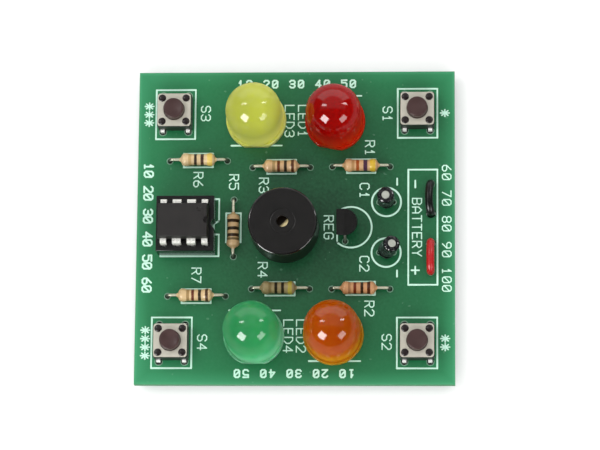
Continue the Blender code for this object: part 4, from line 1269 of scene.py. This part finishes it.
regulator_half = 2.3 * MM
regulator_flat = 1.36 * MM
regulator_back = 2.25 * MM
regulator_draft = 0.08 * MM
regulator_height = 4.7 * MM
regulator_ridge = 0.12 * MM
regulator_drop = 0.05 * MM
regulator_lean = 11.0
regulator_lift = 2.4 * MM
regulator_shift = 0.45 * MM
regulator_wire = 0.25 * MM
regulator_pin_pitch = 1.27 * MM
regulator_splay = 2.54 * MM
regulator_bend_levels = (0.35 * MM, 0.5 * MM)
regulator_bend_shares = (0.12, 0.5, 0.88)
regulator_entry_levels = (-0.5 * MM, -0.3 * MM, 0.4 * MM)


def regulator_body():
    """A half round body with its flat towards -X, and a parting ridge over the wires."""
    curve = [(regulator_back * out, regulator_half * aside) for out, aside in unit_arc(90.0, -90.0, 32)]
    corner = regulator_half - regulator_draft
    body = plate([(-regulator_flat, corner), *curve, (-regulator_flat, -corner)], 0.0, regulator_height)
    for place in (0.0, regulator_ridge):
        halved(body, (place, 0.0, 0.0), (1.0, 0.0, 0.0))
    for vert in body.verts:
        if vert.co.z > regulator_height / 2 and vert.co.x < -MICRON:
            vert.co += Vector((regulator_draft, 0.0, -regulator_drop))
        if vert.co.z > regulator_height / 2 and vert.co.x > regulator_ridge + MICRON:
            vert.co.z -= regulator_drop
    return body


def regulator():
    place = on_board(regulator_share)
    wire = regulator_wire
    drill(place, [(0.0, side * regulator_splay) for side in (-1, 0, 1)], wire)
    lean = Matrix.Rotation(math.radians(regulator_lean), 4, "X")
    stand = Matrix.Translation((0.0, regulator_shift, regulator_lift)) @ lean
    shapes = []
    for side in (-1, 0, 1):
        y = side * regulator_splay
        inner = side * regulator_pin_pitch
        leaving, entry, root = [stand @ Vector((0.0, inner, level)) for level in regulator_entry_levels]
        low, high = [Vector((0.0, y, level)) for level in regulator_bend_levels]
        points = [low, *[high.lerp(leaving, share) for share in regulator_bend_shares], entry, root]
        shapes.append(soldered_wire(0.0, y, wire, points))
    grain = {"size": 1.4 * MM, "depth": 8 * MICRON}
    black = plain("regulator_epoxy", (8, 8, 7), (18, 17, 16), 0.5, Specular_IOR_Level=0.18, **grain)
    body = moved(regulator_body(), at(*place) @ stand)
    dressed("regulator_body", body, black, "regulator", soften=0.1 * MM)
    wire_tin = bent_wire_tin("regulator_wire_tin", 2.8 * MM, 3.0 * MM)
    dressed("regulator_wires", moved(together(*shapes), at(*place)), wire_tin)


# Capacitors


can_radius = 1.5 * MM
can_height = 5.0 * MM
can_lift = 1.5 * MM
can_shoulder = 0.45 * MM
can_crimp = 0.9 * MM
can_lip_share = 0.50
can_end_share = 0.47
can_leans = {1: (0.0, 0.0), 2: (14.0, 22.0)}
crease_size = 0.45 * MM
crease_depth_share = 0.12
capacitor_wire = 0.2 * MM
capacitor_splay = 1.27 * MM
capacitor_pin = 0.5 * MM
capacitor_bend_level = 0.25 * MM
capacitor_entry_levels = (-0.25 * MM, 0.2 * MM)

# The can's foot and seal, as (radius, height) in millimetres, and its crimp, as (depth, height from middle)
can_foot = ((0.0, 0.12), (1.2, 0.12), (1.3, 0.0), (1.4, 0.0), (1.5, 0.14))
can_crimp_shape = ((0.0, -0.28), (0.06, -0.14), (0.13, 0.0), (0.06, 0.14), (0.0, 0.28))
can_seal = ((0.0, -0.02), (1.1, -0.02), (1.2, 0.06), (1.2, 0.3), (0.0, 0.3))


def in_metres(outline):
    return [(radius * MM, height * MM) for radius, height in outline]


def can_stand(number):
    lean, heading = can_leans[number]
    heading = Matrix.Rotation(math.radians(heading), 4, "Z")
    tilt = heading @ Matrix.Rotation(math.radians(lean), 4, "Y") @ heading.inverted()
    return Matrix.Translation((0.0, 0.0, can_lift)) @ tilt


def can_sleeve():
    """The crimped can in its shrunk and creased sleeve, open over the bare end."""
    lip = can_radius * can_lip_share
    sleeve = spun(
        [
            *in_metres(can_foot),
            *[(can_radius - depth, can_crimp + height) for depth, height in in_metres(can_crimp_shape)],
            *arc((can_radius - can_shoulder, can_height - can_shoulder), can_shoulder, 0.0, 75.0, 8),
            (lip, can_height - 0.01 * MM),
            (lip - 0.04 * MM, can_height - 0.09 * MM),
            (0.0, can_height - 0.09 * MM),
        ],
        96,
    )
    for vert in sleeve.verts:
        if vert.co.xy.length > lip:
            vert.co.xy *= 1 - crease_depth_share * abs(noise.noise(vert.co / crease_size))
    return sleeve


def can_end():
    """The bare aluminium end, with a softened edge."""
    radius = can_radius * can_end_share
    top = can_height - 0.04 * MM
    low, soft = top - 0.2 * MM, 0.05 * MM
    return spun([(0.0, low), (radius, low), (radius, top - soft), (radius - soft, top), (0.0, top)], 48)


def capacitor_wires(stand):
    shapes = []
    for side in (-1, 1):
        hole, pin = side * capacitor_splay, side * capacitor_pin
        low = Vector((hole, 0.0, capacitor_bend_level))
        leaving, root = [stand @ Vector((pin, 0.0, level)) for level in capacitor_entry_levels]
        points = [low, low.lerp(leaving, 0.5), leaving, root]
        shapes.append(soldered_wire(hole, 0.0, capacitor_wire, points))
    return together(*shapes)


def capacitors():
    sleeve_black = wrinkled_sleeve()
    aluminium = plain("can_aluminium", (150, 154, 144), (188, 190, 180), 0.5, fine=0.06 * MM, Metallic=0.4)
    rubber = plain("seal_rubber", (40, 40, 42), (58, 58, 60), 0.7)
    wire_tin = tin("capacitor_wire_tin")
    for number, share in capacitor_shares.items():
        place = on_board(share)
        drill(place, [(-capacitor_splay, 0.0), (capacitor_splay, 0.0)], capacitor_wire)
        lean = can_stand(number)
        stand = at(*place) @ lean
        name = f"capacitor_{number}"
        dressed(f"{name}_sleeve", moved(can_sleeve(), stand), sleeve_black, f"{name}_can")
        dressed(f"{name}_end", moved(can_end(), stand), aluminium)
        seal = moved(spun(in_metres(can_seal), 48), stand)
        dressed(f"{name}_seal", seal, rubber, f"{name}_core")
        dressed(f"{name}_wires", moved(capacitor_wires(lean), at(*place)), wire_tin)


# Battery leads: up through a lacing hole, over in an arch, and down to a soldered hole


lead_half_pitch = 2.54 * MM
lead_radius = 0.7 * MM
lead_core = 0.35 * MM
lead_core_top = 0.8 * MM
lead_strip_levels = (0.4 * MM, 0.46 * MM)
lead_strip_share = 0.9
lead_rise = 1.05 * MM
lead_arch = 2.1 * MM
lead_bows = {"black": 0.35 * MM, "red": 0.0525 * MM}


def lead_jacket(away, bow):
    """The insulation, from its stripped end at +Y times away, over the arch and down the lacing hole."""
    low, high = lead_strip_levels
    y = away * lead_half_pitch
    stations = [(0.0, y, low, lead_radius * lead_strip_share), (0.0, y, high, lead_radius)]
    for along, up in unit_arc(0.0, 180.0, 32):
        stations.append((-bow * up, y * along, lead_rise + (lead_arch - lead_rise) * up, lead_radius))
    stations += [(0.0, -y, 0.0, lead_radius), (0.0, -y, tail_end, lead_radius)]
    return swept(stations, sides=24, across=(1.0, 0.0, 0.0))


def leads():
    copper = tin("lead_strands", (190, 182, 168), (232, 226, 214), 0.3, (0.4, 0.4, 6.0))
    grain = {"size": 1.0 * MM, "depth": 5 * MICRON}
    colours = {
        "black": plain("vinyl_black", (5, 6, 6), (12, 14, 14), 0.28, **grain),
        "red": plain("vinyl_red", (160, 12, 16), (184, 28, 32), 0.26, **grain),
    }
    for word, share in lead_shares.items():
        place = on_board(share)
        away = 1 if word == "black" else -1
        y = away * lead_half_pitch
        drill(place, [(0.0, y)], lead_core)
        drill(place, [(0.0, -y)], lead_radius)
        name = f"battery_lead_{word}"
        jacket = moved(lead_jacket(away, lead_bows[word]), at(*place))
        dressed(f"{name}_jacket", jacket, colours[word], name)
        tail = soldered_wire(0.0, y, lead_core, [(0.0, y, lead_core_top)])
        dressed(f"{name}_strands", moved(tail, at(*place)), copper)


# Studio


# Watts for each square metre of a lamp that make it as bright as a white sheet in plain light
watts_per_brightness = 4.0
softbox_distance = 0.45
window_distance = 0.6
white = (1.0, 1.0, 1.0, 1.0)


def camera():
    """A long lens, high over the front right corner, where the photograph was taken from."""
    focal_pixels, picture_width, sensor = 2851.146, 600, 36.0
    azimuth, elevation, roll = [math.radians(angle) for angle in (-15.556, 78.267, -15.368)]
    target = Vector((0.802 * MM, 0.300 * MM, board_top))
    distance = 499.889 * MM
    forward = direction(azimuth, -elevation)
    right = Vector((math.cos(azimuth), -math.sin(azimuth), 0.0))
    up = right.cross(forward)
    side = math.cos(roll) * right + math.sin(roll) * up
    head = -math.sin(roll) * right + math.cos(roll) * up
    data = bpy.data.cameras.new("camera")
    data.sensor_width = sensor
    data.lens = focal_pixels / picture_width * sensor
    data.clip_start = 0.01
    data.clip_end = 10.0
    item = bpy.data.objects.new("camera", data)
    item.matrix_world = faced(side, head, -forward, target - forward * distance)
    bpy.context.scene.collection.objects.link(item)
    bpy.context.scene.camera = item


def softbox(name, azimuth, elevation, width, height, brightness, across=None, gloss=True):
    """A light that faces the board from an azimuth clockwise from the rear, for gloss or for matt colour."""
    azimuth = math.radians(azimuth)
    aim = direction(azimuth, math.radians(elevation))
    across = Vector(across or (math.cos(azimuth), -math.sin(azimuth), 0.0))
    across = (across - aim * across.dot(aim)).normalized()
    data = bpy.data.lights.new(name, "AREA")
    data.shape = "RECTANGLE"
    data.size = width
    data.size_y = height
    data.energy = brightness * watts_per_brightness * width * height
    item = bpy.data.objects.new(name, data)
    distance = softbox_distance if gloss else window_distance
    item.matrix_world = faced(across, aim.cross(across), aim, aim * distance)
    item.visible_glossy = gloss
    item.visible_diffuse = not gloss
    bpy.context.scene.collection.objects.link(item)


def lights():
    softbox("left_softbox", -138.0, 35.5, 0.22, 0.22, 11.0)
    softbox("right_softbox", 129.5, 30.5, 0.22, 0.18, 4.2)
    softbox("rear_left_strip", -62.5, 52.0, 0.15, 0.05, 7.0, across=(0.815, -0.037, 0.578))
    softbox("rear_right_strip", 61.0, 37.0, 0.15, 0.05, 7.0, across=(0.642, 0.033, -0.766))
    softbox("overhead_tent", 0.0, 89.0, 1.2, 1.2, 0.85, gloss=False)
    softbox("left_window", -80.0, 45.0, 0.5, 0.5, 1.3, gloss=False)
    softbox("front_window", 175.0, 35.0, 0.7, 0.4, 2.1, gloss=False)


def room():
    """A dark room with a white wall behind the board and a dimmer ceiling over its rear half."""
    finish = Finish("room", bpy.data.worlds.new("room"), "Generated")
    x, y, z = finish.axes()
    high = finish.step(z, 0.54, 0.66)
    wall = finish.step(y - finish.maths("ABSOLUTE", x) * 0.85, -0.06, 0.06) * (1 - high)
    ceiling = finish.step(y, -0.12, 0.12) * high
    strength = 0.05 + wall * 1.05 + ceiling * 0.3
    light = finish.node("ShaderNodeBackground", None, {"Color": white, "Strength": strength})
    return finish.done(light, "ShaderNodeOutputWorld")


def floor_paper():
    """White paper that keeps the shadow, a little lifted for the camera, and grey in the object's gloss."""
    finish = Finish("floor_white")
    seen = finish.node("ShaderNodeLightPath", out="Is Camera Ray") * 0.18
    mirrored = finish.node("ShaderNodeLightPath", out="Is Glossy Ray")
    paper = finish.surface(0.97 - mirrored * 0.72, 0.9)
    glow = finish.node("ShaderNodeEmission", None, {"Color": white, "Strength": 1.0})
    return finish.done(finish.node("ShaderNodeMixShader", None, {0: seen, 1: paper, 2: glow}))


def studio():
    lights()
    bpy.context.scene.world = room()
    sheet = bmesh.new()
    bmesh.ops.create_grid(sheet, x_segments=1, y_segments=1, size=3.0)
    floor = loose_object(sheet, "floor")
    floor.data.materials.append(floor_paper())
    bpy.context.scene.view_settings.view_transform = "Standard"


camera()
lamps()
resistors()
buttons()
chip()
buzzer()
regulator()
capacitors()
leads()
board()
board_print()
studio()
